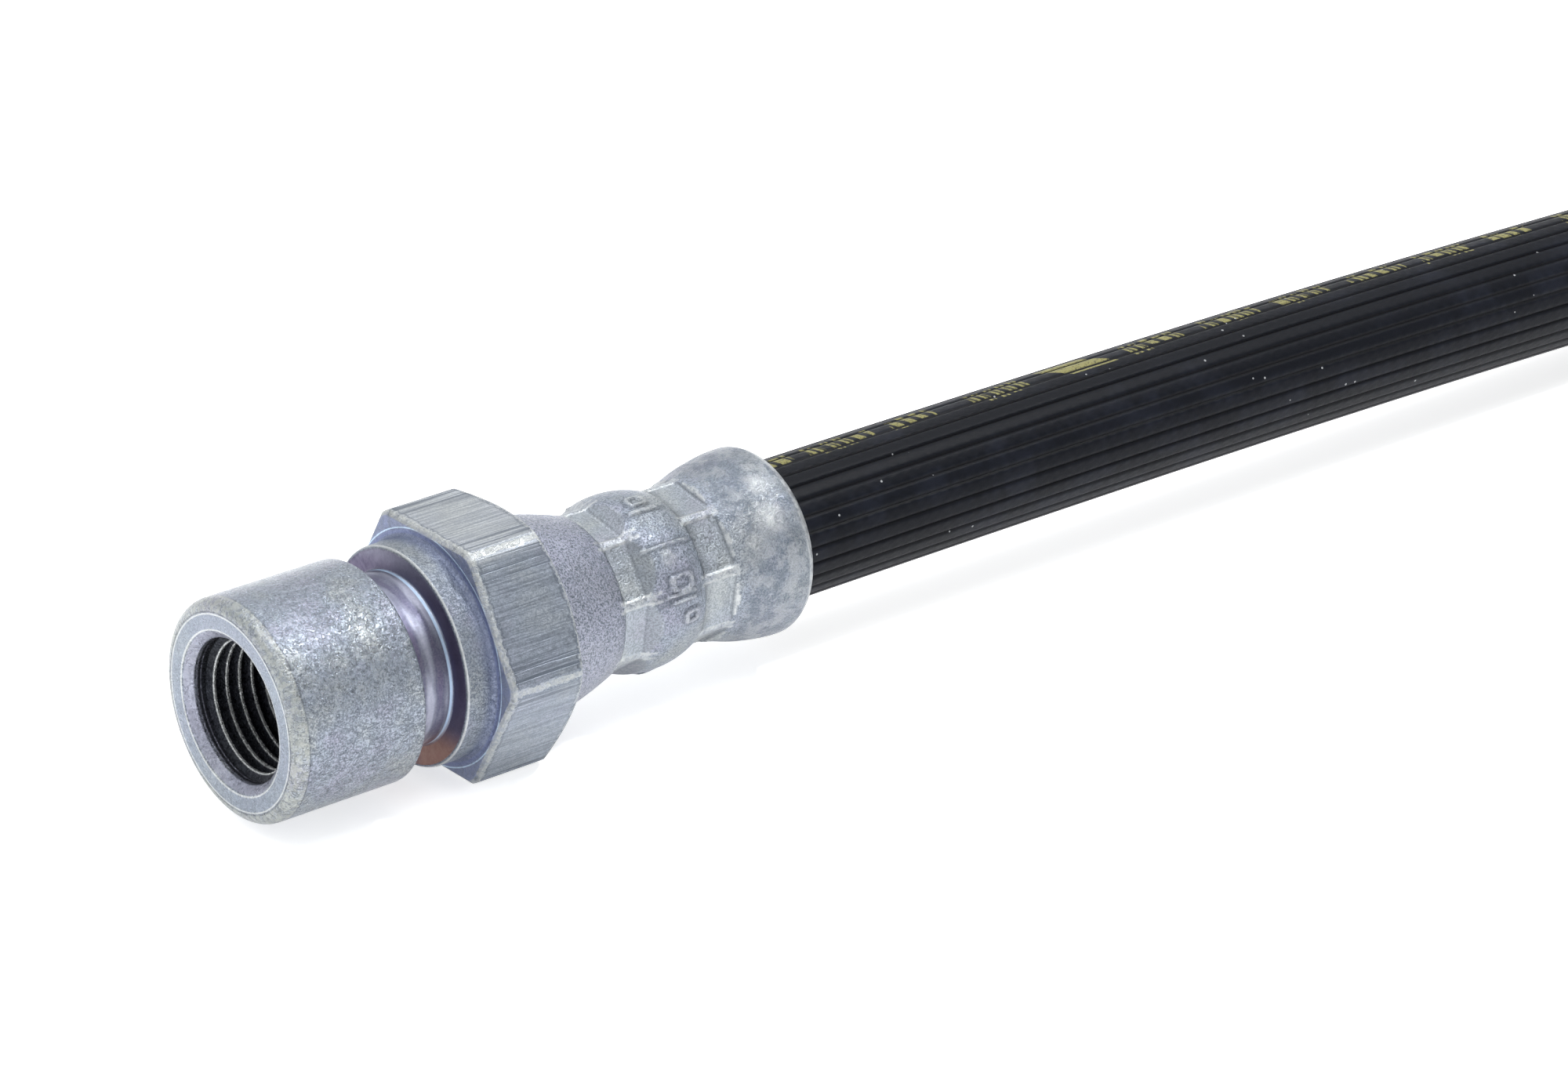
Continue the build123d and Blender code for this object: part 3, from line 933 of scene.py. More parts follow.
@dataclass(frozen=True)
class FerruleFinish:
    """Zinc plate on a crimped ferrule: speckled skin and smoother pressed pockets, with painted highlights on
    the rims and ridges, painted shade in the creases, and painted highlights and dark reflections in patches.
    """

    name: str
    end: End
    relief: float = 0.038
    tones: ZincTones = field(default_factory=ZincTones)
    # Painted highlights and painted dark reflections, each at a fixed place on the skin.
    reflection_spots: tuple[ReflectionSpot, ...] = (
        ReflectionSpot(15.9, 121.5, 6.1, 2.0, 0.88, True),
        ReflectionSpot(16.2, 138.0, 6.2, 0.9, 0.40, True),
        ReflectionSpot(7.6, 127.0, 6.1, 0.8, 0.60, True),
        ReflectionSpot(18.2, 141.0, 6.6, 1.5, 0.75, False),
        ReflectionSpot(18.6, 118.0, 6.7, 1.2, 0.55, False),
        ReflectionSpot(16.6, 152.0, 6.3, 1.0, 0.45, False),
        ReflectionSpot(9.3, 143.0, 6.2, 1.0, 0.40, False),
        ReflectionSpot(17.6, 262.0, 6.5, 1.4, 0.45, True),
        ReflectionSpot(18.0, 20.0, 6.5, 1.3, 0.50, False),
    )

    def material(self) -> bpy.types.Material:
        """Build the node tree. The mesh's "pressed" attribute holds the pocket mask, a mask of painted
        highlights and a mask of painted shade.

        Returns:
            The finished material.
        """
        tones = self.tones
        plate = Plate(self.name, tones)
        sheet, fine, middling = plate.sheet, plate.fine, plate.middling
        station = (plate.x - self.end.shoulder) * float(self.end.value)
        attribute = sheet.tree.nodes.new("ShaderNodeAttribute")
        attribute.attribute_name = "pressed"
        pressed, rim, crease_shade = sheet.split(attribute.outputs["Vector"])
        plate.tint(station.band(5.25, 4.9) * 0.75, sheet.mix(fine, tones.speck, tones.lilac))
        cloud = sheet.noise(plate.place, 0.75, 4.0, 0.7)
        bell = station.band(15.0, 16.2)
        plate.tint(bell * 0.50, tones.speck)
        plate.tint(bell * cloud.band(0.44, 0.58) * 0.22, tones.bright)
        plate.tint(bell * cloud.band(0.46, 0.36) * 0.34, tones.speck)
        # Painted reflections: dark patches and highlights at fixed places, ragged with noise.
        spread = sheet.join(station, plate.y, plate.z)
        for spot in self.reflection_spots:
            gap = cloud * (2.0 * spot.reach) + sheet.away(spread, spot.centre())
            mask = gap.band(2.0 * spot.reach, 1.1 * spot.reach)
            share = mask * (middling * 0.6 + 0.4) * spot.strength
            plate.tint(share, tones.speck if spot.dark else tones.bright)
        plate.tint(pressed * 0.30, tones.sage)
        # Painted shade along the pockets' front edges, walls and ramps, and round the raised marks.
        plate.tint(crease_shade * (middling * 0.25 + 0.60), tones.pit_and_shade)
        # Painted highlights along the pockets' sides, the ridges between them, the mouth rim, the rear walls
        # and the raised marks.
        plate.tint(rim * (middling * 0.6 + 0.2), tones.bright)
        height = (fine * 0.50 + middling * 0.60) * (pressed * -0.5 + 1.0)
        sheet.bump(height, self.relief)
        return sheet.dress(Base_Color=plate.colour, Roughness=middling * 0.14 + 0.32, Metallic=0.9)


@dataclass(frozen=True)
class CoverFinish:
    """Black cover rubber: fine grooves with painted shade in them, a faint cloth print, dust and a broken
    line of generic marks.
    """

    name: str = "cover_rubber"
    rubber: Colour = (0.0028, 0.0036, 0.0060)
    sheen: Colour = (0.0062, 0.0076, 0.0125)
    # Near black of the painted shade in the grooves.
    groove: Colour = (0.002, 0.002, 0.003)
    ink: Colour = (0.235, 0.220, 0.085)
    dust: Colour = (0.30, 0.31, 0.32)
    grooves: int = 27
    rungs: float = 5.6
    print_turn: float = 0.236
    print_height: float = 2.1
    bar_pitch: float = 1.15
    group_pitch: float = 7.4
    block: Point = (45.0, 49.2)
    girth: float = 31.4

    def material(self) -> bpy.types.Material:
        """Build the node tree. The UV map holds the length in millimetres and the turn from 0 to 1.

        Returns:
            The finished material.
        """
        sheet = NodeSheet(self.name)
        lay = sheet.tree.nodes.new("ShaderNodeUVMap")
        lay.uv_map = "lay"
        length, turn, _ = sheet.split(lay.outputs[0])
        place = sheet.place()
        rib = (turn * float(self.grooves)).part()
        beside = 0.5 - abs(rib - 0.5)
        land = beside.band(0.07, 0.15)
        weave = (length * self.rungs).sine() * land * beside.band(0.45, 0.25)
        cloud = sheet.noise(place, 0.30, 3.0)
        grain = sheet.noise(place, 6.0, 3.0, 0.6)
        wide = sheet.streaks(place, (0.06, 0.3, 0.3), 2.0)
        tint = weave * 0.22 + cloud.band(0.40, 0.66)
        tint = sheet.math("MULTIPLY", tint, wide.band(0.38, 0.6), clamp=True)
        colour = sheet.mix(tint, self.rubber, self.sheen)
        # Painted shade: the grooves between the lands are darkened.
        colour = sheet.mix((1.0 - land) * 0.55, colour, self.groove)
        inked = self.marks(sheet, length, turn) * land * grain.band(0.30, 0.52)
        colour = sheet.mix(inked * 0.8, colour, self.ink)
        colour = sheet.mix(self.motes(sheet, place, cloud), colour, self.dust)
        sheet.bump((weave * 0.25 + grain * 0.4) * land, 0.03)
        return sheet.dress(Base_Color=colour, Roughness=grain * 0.22 + 0.36, Specular_IOR_Level=0.085)

    def marks(self, sheet: NodeSheet, length: Value, turn: Value) -> Value:
        """Broken line of plain bars in groups, and one block.

        Args:
            sheet: the node tree.
            length: length along the hose in millimetres.
            turn: turn round the hose from 0 to 1.

        Returns:
            The mask of the ink.
        """
        height = (turn - self.print_turn) * self.girth
        bar = (length - height * 0.25) * (1 / self.bar_pitch)
        number, inside = bar.whole(), bar.part()
        stroke = inside.below(sheet.cell(number) * 0.35 + 0.45)
        group = length * (1 / self.group_pitch)
        word = group.part().below(sheet.cell(group.whole()) * 0.3 + 0.55)
        tier = sheet.cell(number + 31.5)
        reach = tier * (0.18 * self.print_height) + 0.30 * self.print_height
        middle = (sheet.cell(number + 7.5) - 0.5) * 0.5
        tall = abs(height - middle).below(reach)
        hollow = abs(inside - 0.33).below(0.11) * tier.above(0.45)
        inked = stroke * (hollow * -0.85 + 1.0) * word * tall
        half = self.print_height / 2
        block = (length - height).within(*self.block, 0.1) * height.within(-half, half)
        clear = 1.0 - length.within(self.block[0] - 2.4, self.block[1] + 2.4, 0.05)
        return (inked * clear).most(block)

    def motes(self, sheet: NodeSheet, place: Socket, cloud: Value) -> Value:
        """Tiny specks of dust, thicker near the ferrules.

        Args:
            sheet: the node tree.
            place: place in millimetres.
            cloud: slow noise that thins them out.

        Returns:
            The mask of the dust.
        """
        cells = sheet.tree.nodes.new("ShaderNodeTexVoronoi")
        sheet.feed(cells.inputs["Vector"], place)
        cells.inputs["Scale"].default_value = 0.9
        chance = sheet.split(cells.outputs["Color"])[0]
        speck = Value(sheet, cells.outputs["Distance"]).below(chance * 0.05 + 0.035)
        from_middle = abs(sheet.split(place)[0] - 177.0)
        often = from_middle.band(105.0, 128.0) * -0.25 + 0.88
        return speck * (chance + cloud * 0.1).above(often) * 0.8


@dataclass(frozen=True)
class PlainFinish:
    """A simpler finish for the pieces inside: two tones, grain and relief."""

    name: str
    light: Colour
    dark: Colour
    metallic: float
    roughness: float
    grain: Triple
    relief: float

    def material(self) -> bpy.types.Material:
        """Build the node tree.

        Returns:
            The finished material.
        """
        sheet = NodeSheet(self.name)
        place = sheet.place()
        thread = sheet.streaks(place, self.grain, 4.0, 0.6)
        cloud = sheet.noise(place, 0.6, 3.0)
        colour = sheet.mix(thread.band(0.35, 0.65), self.dark, self.light)
        colour = sheet.mix(cloud.band(0.45, 0.7) * 0.4, colour, self.dark)
        sheet.bump(thread, self.relief)
        return sheet.dress(Base_Color=colour, Roughness=thread * 0.2 + self.roughness, Metallic=self.metallic)


@dataclass(frozen=True)
class BraidFinish:
    """Textile braid: two sets of yarns crossing round the hose."""

    name: str = "braid_yarn"
    yarn: Colour = (0.50, 0.47, 0.38)
    shade: Colour = (0.20, 0.18, 0.14)
    yarns: float = 12.0
    lay: float = 1.3

    def material(self) -> bpy.types.Material:
        """Build the node tree.

        Returns:
            The finished material.
        """
        sheet = NodeSheet(self.name)
        place = sheet.place()
        x, y, z = sheet.split(place)
        turn, run = sheet.math("ARCTAN2", z, y) * self.yarns, x * self.lay
        weave = (turn + run).sine().most((turn - run).sine())
        fibre = sheet.noise(place, 9.0, 3.0)
        colour = sheet.mix(weave.band(0.0, 0.8), self.shade, self.yarn)
        colour = sheet.mix(fibre * 0.35, colour, self.shade)
        sheet.bump(fibre * 0.3 + weave, 0.06)
        return sheet.dress(Base_Color=colour, Roughness=0.8)


# ---------------------------------------------------------------- threads
@dataclass(frozen=True)
class ThreadSizes:
    """A vee thread laid as a ridge on a turned wall."""

    name: str
    pitch: float
    root: float
    crest: float
    start: float
    turns: int
    steps: int = 96
    crest_flat: float = 0.14
    fade: int = 30
    sinking: float = 1.1

    def build(self) -> bpy.types.Object:
        """Model the ridge and fade both its ends into the wall.

        Returns:
            The ridge as a closed mesh.
        """
        ridge = Workpiece(self.name)
        half_crest = self.crest_flat / 2
        half_root = half_crest + abs(self.root - self.crest) * SLOPE_30
        section = [
            (self.start - half_root, self.root),
            (self.start - half_crest, self.crest),
            (self.start + half_crest, self.crest),
            (self.start + half_root, self.root),
        ]
        ridge.draw(section)
        bpy.ops.object.mode_set(mode="OBJECT")
        bpy.ops.object.modifier_add(type="SCREW")
        screw = ridge.obj.modifiers[-1]
        screw.axis, screw.iterations = "X", self.turns
        screw.steps = screw.render_steps = self.steps
        screw.screw_offset = self.pitch * MM
        bpy.ops.object.modifier_apply(modifier=screw.name)
        bpy.ops.object.mode_set(mode="EDIT")
        rings, corners = self.turns * self.steps, len(section)
        sunk = (self.root - self.crest) * self.sinking / self.crest
        for ring in range(self.fade):
            grow = 1 + sunk * (1 - ring / self.fade)
            for first in (ring, rings - ring):
                ridge.pick_members(range(first * corners, (first + 1) * corners))
                bpy.ops.transform.resize(value=(1, grow, grow), center_override=(0, 0, 0))
        for first in (0, rings):
            ridge.pick_members(range(first * corners, (first + 1) * corners))
            bpy.ops.mesh.edge_face_add()
        bpy.ops.mesh.select_all(action="SELECT")
        bpy.ops.mesh.normals_make_consistent(inside=False)
        return ridge.done(30.0)


def join_into(body: bpy.types.Object, ridge: bpy.types.Object) -> bpy.types.Object:
    """Join a thread's ridge to the body that carries it.

    Args:
        body: the body.
        ridge: the thread's ridge.

    Returns:
        The body with its thread.
    """
    deselect()
    ridge.select_set(True)
    body.select_set(True)
    bpy.context.view_layer.objects.active = body
    bpy.ops.object.join()
    return body


# ---------------------------------------------------------------- fittings
@dataclass
class Fitting:
    """What both end fittings share: a hexagon, a grooved spigot and the insert's socket."""

    end: End
    steps: int = 144
    passage: float = 1.1
    socket: float = 2.4
    socket_depth: float = 3.8
    spigot: float = 4.2
    spigot_length: float = 3.2
    spigot_groove: float = 3.5
    spigot_lip: float = 0.9
    ferrule_wall: float = 1.4
    blank: float = 9.2
    pitch: float = 1.0
    front_rings: tuple[float, ...] = (0.0, HEXAGON.front_bevel, 0.55, 1.4, 2.6, 3.8, 4.8, 5.4)
    rear_ring: float = 0.95
    sharp: float = 24.0
    edge_break: float = 0.05
    smooth_below: float = 30.0

    def spigot_section(self) -> list[Point]:
        """Section of the rear, from the hexagon's shoulder to the passage.

        Returns:
            Its (station, radius) points in order.
        """
        at, groove_end = self.end.at, self.spigot_length - self.spigot_lip
        groove_start = groove_end - self.ferrule_wall
        return [
            (at(0), HEXAGON.rear_radius),
            (at(0), self.spigot),
            (at(groove_start), self.spigot),
            (at(groove_start), self.spigot_groove),
            (at(groove_end), self.spigot_groove),
            (at(groove_end), self.spigot),
            (at(self.spigot_length), self.spigot),
            (at(self.spigot_length), self.socket),
            (at(-self.socket_depth), self.socket),
            (at(-self.socket_depth), self.passage),
        ]

    def hexagon_section(self, front: float) -> list[Point]:
        """Rings of the turned blank that are milled into the hexagon, front to rear.

        Args:
            front: station of the hexagon's front face.

        Returns:
            Their (station, radius) in order.
        """
        rings = [(front + self.end.value * step, self.blank) for step in self.front_rings]
        return rings + [(self.end.at(-self.rear_ring), self.blank)]

    def mill(self, work: Workpiece, front: float) -> None:
        """Mill the six flats, the bevelled front edges and the rear cone's arcs.

        Args:
            work: the turned blank.
            front: station of the hexagon's front face.
        """
        rings = self.hexagon_section(front)
        for index, (station, radius) in enumerate(rings):
            inset = HEXAGON.front_bevel if index == 0 else 0.0
            work.mill_hexagon(station, radius, inset, index == len(rings) - 1, self.end)

    def complete(
        self, work: Workpiece, front: float, thread: ThreadSizes, material: bpy.types.Material
    ) -> bpy.types.Object:
        """Spin and mill the drawn section, break its edges and add its thread.

        Args:
            work: the section.
            front: station of the hexagon's front face.
            thread: the thread's sizes.
            material: the body's finish.

        Returns:
            The finished piece.
        """
        work.spin(self.steps)
        self.mill(work, front)
        work.soften(self.sharp, self.edge_break)
        body = work.done(self.smooth_below)
        body = join_into(body, thread.build())
        fasten(body, f"{self.end.label}_fitting_body", material)
        return body


@dataclass
class FemaleFitting(Fitting):
    """Port body: rounded barrel, clip groove, collar, hexagon and a threaded port."""

    end: End = End.FEMALE
    barrel: float = 7.75
    barrel_length: float = 10.3
    mouth_round: float = 0.9
    rear_round: float = 0.28
    groove: float = 6.05
    groove_width: float = 3.3
    collar: float = 7.7
    collar_edge: float = 0.22
    fillet: float = 0.42
    chamfer: float = 5.6
    chamfer_depth: float = 0.5
    wall: float = 5.02
    minor: float = 4.5
    thread_end: float = 11.0
    relief: float = 5.1
    seat_depth: float = 13.0
    seat_foot: float = 3.8
    seat_nose: float = 1.9

    def build(self, material: bpy.types.Material) -> bpy.types.Object:
        """Model the body and its thread.

        Args:
            material: its finish.

        Returns:
            The finished piece.
        """
        front, collar_front = PLACES.female_front, self.barrel_length + self.groove_width
        nose = self.seat_depth - (self.seat_foot - self.seat_nose)
        section = [
            (self.chamfer_depth, self.chamfer - self.chamfer_depth),
            (0.0, self.chamfer),
            (0.0, self.barrel),
            (self.barrel_length, self.barrel),
            (self.barrel_length, self.groove),
            (collar_front, self.groove),
            (collar_front, self.collar),
            (front, self.collar),
            *self.hexagon_section(front),
            *self.spigot_section(),
            (nose, self.passage),
            (nose, self.seat_nose),
            (self.seat_depth, self.seat_foot),
            (self.seat_depth, self.relief),
            (self.thread_end, self.relief),
            (self.thread_end, self.wall),
            (self.chamfer - self.wall, self.wall),
        ]
        work = Workpiece("female_port_body")
        work.draw(section)
        work.round_off((0.0, self.barrel), self.mouth_round, 8)
        work.round_off((0.0, self.chamfer), 0.16, 3)
        work.round_off((self.barrel_length, self.barrel), self.rear_round, 4)
        work.round_off((self.barrel_length, self.groove), 0.22, 4)
        work.round_off((collar_front, self.groove), 0.10, 2)
        work.round_off((collar_front, self.collar), self.collar_edge, 3)
        work.round_off((front, self.collar), self.fillet, 5)
        thread = ThreadSizes(
            "port_thread", self.pitch, root=self.wall + 0.02, crest=self.minor, start=1.15, turns=9
        )
        return self.complete(work, front, thread, material)


@dataclass
class MaleFitting(Fitting):
    """Stud body: threaded stud with a sealing cone in its tip, a washer face and a hexagon."""

    end: End = End.MALE
    major: float = 5.0
    minor: float = 4.39
    stud: float = 11.0
    tip_chamfer: float = 0.9
    undercut: float = 4.3
    undercut_width: float = 1.6
    cone: float = 3.0
    washer: float = 7.6
    washer_length: float = 0.8

    def build(self, material: bpy.types.Material) -> bpy.types.Object:
        """Model the body and its thread.

        Args:
            material: its finish.

        Returns:
            The finished piece.
        """
        tip, front = PLACES.male_tip, PLACES.male_front
        stud_root = tip - self.stud
        section = [
            (tip - (self.cone - self.passage), self.passage),
            (tip, self.cone),
            (tip, self.minor - 0.25),
            (tip - 0.25, self.minor),
            (stud_root + self.undercut_width, self.minor),
            (stud_root + self.undercut_width - 0.1, self.undercut),
            (stud_root, self.undercut),
            (stud_root, self.washer),
            (front, self.washer),
            *self.hexagon_section(front),
            *self.spigot_section(),
        ]
        work = Workpiece("male_stud_body")
        work.draw(section)
        work.round_off((tip, self.cone), 0.12, 3)
        work.round_off((stud_root, self.undercut), 0.3, 4)
        work.round_off((stud_root, self.washer), 0.22, 3)
        work.round_off((front, self.washer), 0.3, 4)
        start = stud_root + self.undercut_width + 0.75
        thread = ThreadSizes(
            "stud_thread", self.pitch, root=self.minor - 0.02, crest=self.major, start=start, turns=7
        )
        return self.complete(work, front, thread, material)


# ---------------------------------------------------------------- ferrule
@dataclass(frozen=True)
class PocketRow:
    """One row of flat pockets pressed into a ferrule."""

    start: float
    length: float
    ramp: float
    floor: float

    @property
    def end(self) -> float:
        """Station where the flat floor ends."""
        return self.start + self.length


@dataclass(frozen=True)
class Pad:
    """A plain raised mark: a bar, or a rounded ring where it has a hollow."""

    station: float
    angle: float
    half_length: float
    half_width: float
    hollow: float = 0.0
    foot: float = 0.16

    def covers(self, station: float, angle: float, radius: float) -> bool:
        """Whether the mark raises a place.

        Args:
            station: distance from the hexagon's rear.
            angle: direction from +Y towards +Z, in degrees.
            radius: distance from the axis.

        Returns:
            True inside the bar, or between the ring's two outlines.
        """
        return self.hollow < self.reach(station, angle, radius) <= 1.0

    def outlines(self, station: float, angle: float, radius: float) -> bool:
        """Whether a place lies just outside the mark.

        Args:
            station: distance from the hexagon's rear.
            angle: direction from +Y towards +Z, in degrees.
            radius: distance from the axis.

        Returns:
            True in a narrow band along each of its outlines.
        """
        edge = self.foot / min(self.half_length, self.half_width)
        reach = self.reach(station, angle, radius)
        return 1.0 < reach < 1.0 + edge or self.hollow - edge < reach <= self.hollow

    def reach(self, station: float, angle: float, radius: float) -> float:
        """How far out a place is.

        Args:
            station: distance from the hexagon's rear.
            angle: direction from +Y towards +Z, in degrees.
            radius: distance from the axis.

        Returns:
            1 on the mark's outline, and less inside it.
        """
        across = math.radians((angle - self.angle + 180) % 360 - 180) * radius
        along = abs((station - self.station) / self.half_length)
        return (along**4 + abs(across / self.half_width) ** 4) ** 0.25


@dataclass
class Ferrule:
    """Crimp ferrule: dome, two rows of pressed pockets, a barrel between and a bell mouth."""

    end: End
    steps: int = 320
    rows: tuple[PocketRow, ...] = (PocketRow(5.2, 1.75, 1.6, 5.42), PocketRow(12.15, 2.4, 0.9, 5.30))
    pockets: int = 8
    phase: float = 9.0
    arc: float = 39.0
    neck_front: float = 5.85
    neck_rear: float = 5.72
    waist: float = 6.28
    bell: float = 6.72
    mouth: float = 5.2
    grip: float = 4.2
    grip_groove: float = 3.5
    outside: float = 5.1
    waist_after: float = 1.9
    waist_outside: float = 5.9
    crests_end: tuple[float, float] = (7.7, 15.0)
    pad_height: float = 0.16
    pads: tuple[Pad, ...] = (
        Pad(9.9, 161.0, 1.05, 0.62, 0.62),
        Pad(10.5, 185.0, 0.70, 0.55, 0.50),
        Pad(9.7, 168.5, 1.35, 0.14),
        Pad(9.9, 172.5, 1.00, 0.14),
        Pad(9.6, 135.5, 2.30, 0.16),
        Pad(9.8, 98.0, 0.80, 0.60, 0.55),
        Pad(9.6, 108.0, 1.50, 0.14),
        Pad(9.7, 23.0, 1.05, 0.62, 0.62),
        Pad(9.7, 40.0, 1.50, 0.14),
        Pad(9.9, 254.0, 1.05, 0.62, 0.62),
        Pad(9.6, 315.5, 2.30, 0.16),
    )

    def skin(self) -> list[Point]:
        """Outer skin, from the hexagon to the rim.

        Returns:
            Its (station, radius) points in order.
        """
        one, two = self.rows
        long = PLACES.ferrule
        skin = arc((0.0, HEXAGON.rear_radius), (one.start / 2, 6.62), (one.start - 0.05, self.neck_front), 30)
        skin += straight((one.start + 0.02, self.neck_front), (one.end, self.neck_front), 12)
        middle = ((one.end + two.start) / 2, self.waist)
        skin += arc((one.end, self.neck_front), middle, (two.start - 0.05, self.neck_rear), 36)[1:]
        skin += straight((two.start + 0.02, self.neck_rear), (two.end, self.neck_rear), 16)
        skin += hermite((two.end, self.neck_rear), (two.end + 2.6, 6.38), (0.12, 0.19), 18)[1:]
        skin += hermite((two.end + 2.6, 6.38), (long - 1.2, self.bell), (0.19, 0.0), 12)[1:]
        skin += arc((long - 1.2, self.bell), (long - 0.35, self.bell - 0.25), (long, 6.05), 8)[1:]
        return skin

    def hollow(self) -> list[Point]:
        """Inside of the ferrule, from the rim back to the hexagon.

        Returns:
            Its (station, radius) points in order.
        """
        long = PLACES.ferrule
        return [
            (long, self.mouth + 0.3),
            (long - 0.5, self.mouth),
            (17.6, self.mouth),
            *reversed(PLACES.squeezed),
            (PLACES.squeezed[0][0], self.grip),
            (2.3, self.grip),
            (2.3, self.grip_groove),
            (0.9, self.grip_groove),
            (0.9, self.grip),
            (0.0, self.grip),
        ]

    def build(self, material: bpy.types.Material) -> bpy.types.Object:
        """Turn the sleeve, press its pockets and raise its tool marks.

        Args:
            material: its finish.

        Returns:
            The finished piece.
        """
        work = Workpiece(f"{self.end.label}_ferrule_skin")
        work.draw([(self.end.at(station), radius) for station, radius in self.skin() + self.hollow()])
        work.spin(self.steps)
        pressed: set[int] = set()
        rims: set[int] = set()
        for row in self.rows:
            for index in range(self.pockets):
                self.press(work, row, self.phase + index * 360 / self.pockets, pressed, rims)
        self.raise_pads(work)
        work.pick_members(sorted(rims))
        bpy.ops.mesh.vertices_smooth(factor=0.5, repeat=1)
        piece = work.done(50.0)
        self.mark(piece, pressed, rims)
        fasten(piece, f"{self.end.label}_crimp_ferrule", material)
        return piece

    def press(self, work: Workpiece, row: PocketRow, angle: float, pressed: set[int], rims: set[int]) -> None:
        """Press one pocket: its floor goes flat, and its rear wall slopes back to the skin.

        Args:
            work: the turned sleeve.
            row: the row that the pocket belongs to.
            angle: direction of the pocket from +Y towards +Z, in degrees.
            pressed: gathers the vertices that moved.
            rims: gathers the vertices on the edges of the pocket.
        """
        quarter = math.radians(90 - angle)
        turn = Matrix.Rotation(quarter, 3, "X")
        half = math.radians(self.arc / 2)
        levels: dict[float, list[int]] = {}
        for vert in work.mesh.verts:
            station = self.end.station(vert.co)
            if not row.start - 0.4 < station < row.end + 2.2:
                continue
            place = turn @ (vert.co / MM)
            radius = math.hypot(place.y, place.z)
            swing = abs(math.atan2(place.y, place.z))
            if radius < self.outside or swing > half + math.radians(2.4):
                continue
            level = row.floor + max(0.0, station - row.end) / row.ramp
            inside = station >= row.start and swing <= half and place.z > level
            if inside:
                levels.setdefault(round(level, 4), []).append(vert.index)
                pressed.add(vert.index)
            edge = min(abs(swing - half) * radius, abs(station - row.start))
            if radius > level and (edge < 0.13 or (inside and place.z - level < 0.06)):
                rims.add(vert.index)
        bpy.ops.mesh.select_all(action="SELECT")
        bpy.ops.transform.rotate(value=-quarter, orient_axis="X", center_override=(0, 0, 0))
        for level, members in levels.items():
            work.pick_members(members)
            bpy.ops.transform.resize(value=(1, 1, 0), center_override=(0, 0, level * MM))
        bpy.ops.mesh.select_all(action="SELECT")
        bpy.ops.transform.rotate(value=quarter, orient_axis="X", center_override=(0, 0, 0))

    def polar(self, place: Vector) -> tuple[float, float, float]:
        """Station, direction from +Y in degrees and radius of a place in metres."""
        angle = math.degrees(math.atan2(place.z, place.y)) % 360
        return self.end.station(place), angle, math.hypot(place.y, place.z) / MM

    def on_waist(self, station: float, radius: float) -> bool:
        """Whether a place is on the outside of the waist, where the raised marks are."""
        one, two = self.rows
        return one.start + self.waist_after < station < two.start and radius > self.waist_outside

    def raise_pads(self, work: Workpiece) -> None:
        """Raise plain rings and bars round the waist, as a crimping tool leaves them.

        Args:
            work: the pressed sleeve.
        """
        members = []
        for vert in work.mesh.verts:
            place = station, _, radius = self.polar(vert.co)
            if self.on_waist(station, radius) and any(pad.covers(*place) for pad in self.pads):
                members.append(vert.index)
        work.pick_members(members)
        grow = 1 + self.pad_height / self.waist
        bpy.ops.transform.resize(value=(1, grow, grow), center_override=(0, 0, 0))

    def mark(self, piece: bpy.types.Object, pressed: set[int], rims: set[int]) -> None:
        """Note on the mesh where it was pressed, where highlights are painted on its edges and where shade is
        painted in its creases.

        Args:
            piece: the finished sleeve.
            pressed: vertices inside the pockets.
            rims: vertices on their edges.
        """
        half_pitch = 180 / self.pockets
        values: list[float] = []
        for vert in piece.data.vertices:
            place = station, angle, radius = self.polar(vert.co)
            swing = abs((angle - self.phase + half_pitch) % (2 * half_pitch) - half_pitch)
            inside, highlight, crease_shade = vert.index in pressed, 0.0, 0.0
            if radius >= self.outside:
                highlight = self.highlight_share(station, swing, inside, vert.index in rims)
                crease_shade = self.crease_shading(station, swing, inside)
            # The raised marks get a painted highlight, and their outlines painted shade.
            if self.on_waist(station, radius):
                highlight = 0.45 if any(pad.covers(*place) for pad in self.pads) else highlight
                crease_shade = max(crease_shade, 0.5 * any(pad.outlines(*place) for pad in self.pads))
            values += (float(inside), highlight, crease_shade)
        attribute = piece.data.attributes.new("pressed", "FLOAT_VECTOR", "POINT")
        attribute.data.foreach_set("vector", values)

    def highlight_share(self, station: float, swing: float, inside: bool, rim: bool) -> float:
        """How strongly a painted highlight lies on a place.

        Args:
            station: distance from the hexagon's rear.
            swing: angle from the middle of the nearest pocket, in degrees.
            inside: whether it is in a pocket.
            rim: whether it is on a pocket's edge.

        Returns:
            A share from 0 to 1, from the pockets' sides, the crests between them, the rim and the rear edge.
        """
        two, half = self.rows[1], self.arc / 2
        between = any(row.start < station < end for row, end in zip(self.rows, self.crests_end))
        at_mouth = PLACES.ferrule - station < 0.7
        back = inside and 0.25 < station - two.end < 0.5
        side, crest = rim and swing > half - 1.6, between and swing > half
        return max(0.8 * side, 0.55 * crest, 0.8 * at_mouth, 0.9 * back)

    def crease_shading(self, station: float, swing: float, inside: bool) -> float:
        """How strongly painted shade lies on a place.

        Args:
            station: distance from the hexagon's rear.
            swing: angle from the middle of the nearest pocket, in degrees.
            inside: whether it is in a pocket.

        Returns:
            A share from 0 to 1, from the front edges of both rows, and the walls and the ramp behind them.
        """
        one, two = self.rows
        half, slope, fade = self.arc / 2, station - one.end, 0.85
        front = swing < half + 1 and -0.10 < station - one.start < 0.09
        step = swing < half and -0.16 < station - two.start < fade
        shade = 0.9 - 0.9 * max(0.0, station - two.start) / fade
        wall = inside and (0.0 < station - two.end < 0.2 or 0.0 < slope < 0.15)
        ramp = inside and 0.0 < slope < 1.0
        return max(0.7 * front, shade * step, 0.60 * wall, 0.34 * ramp)


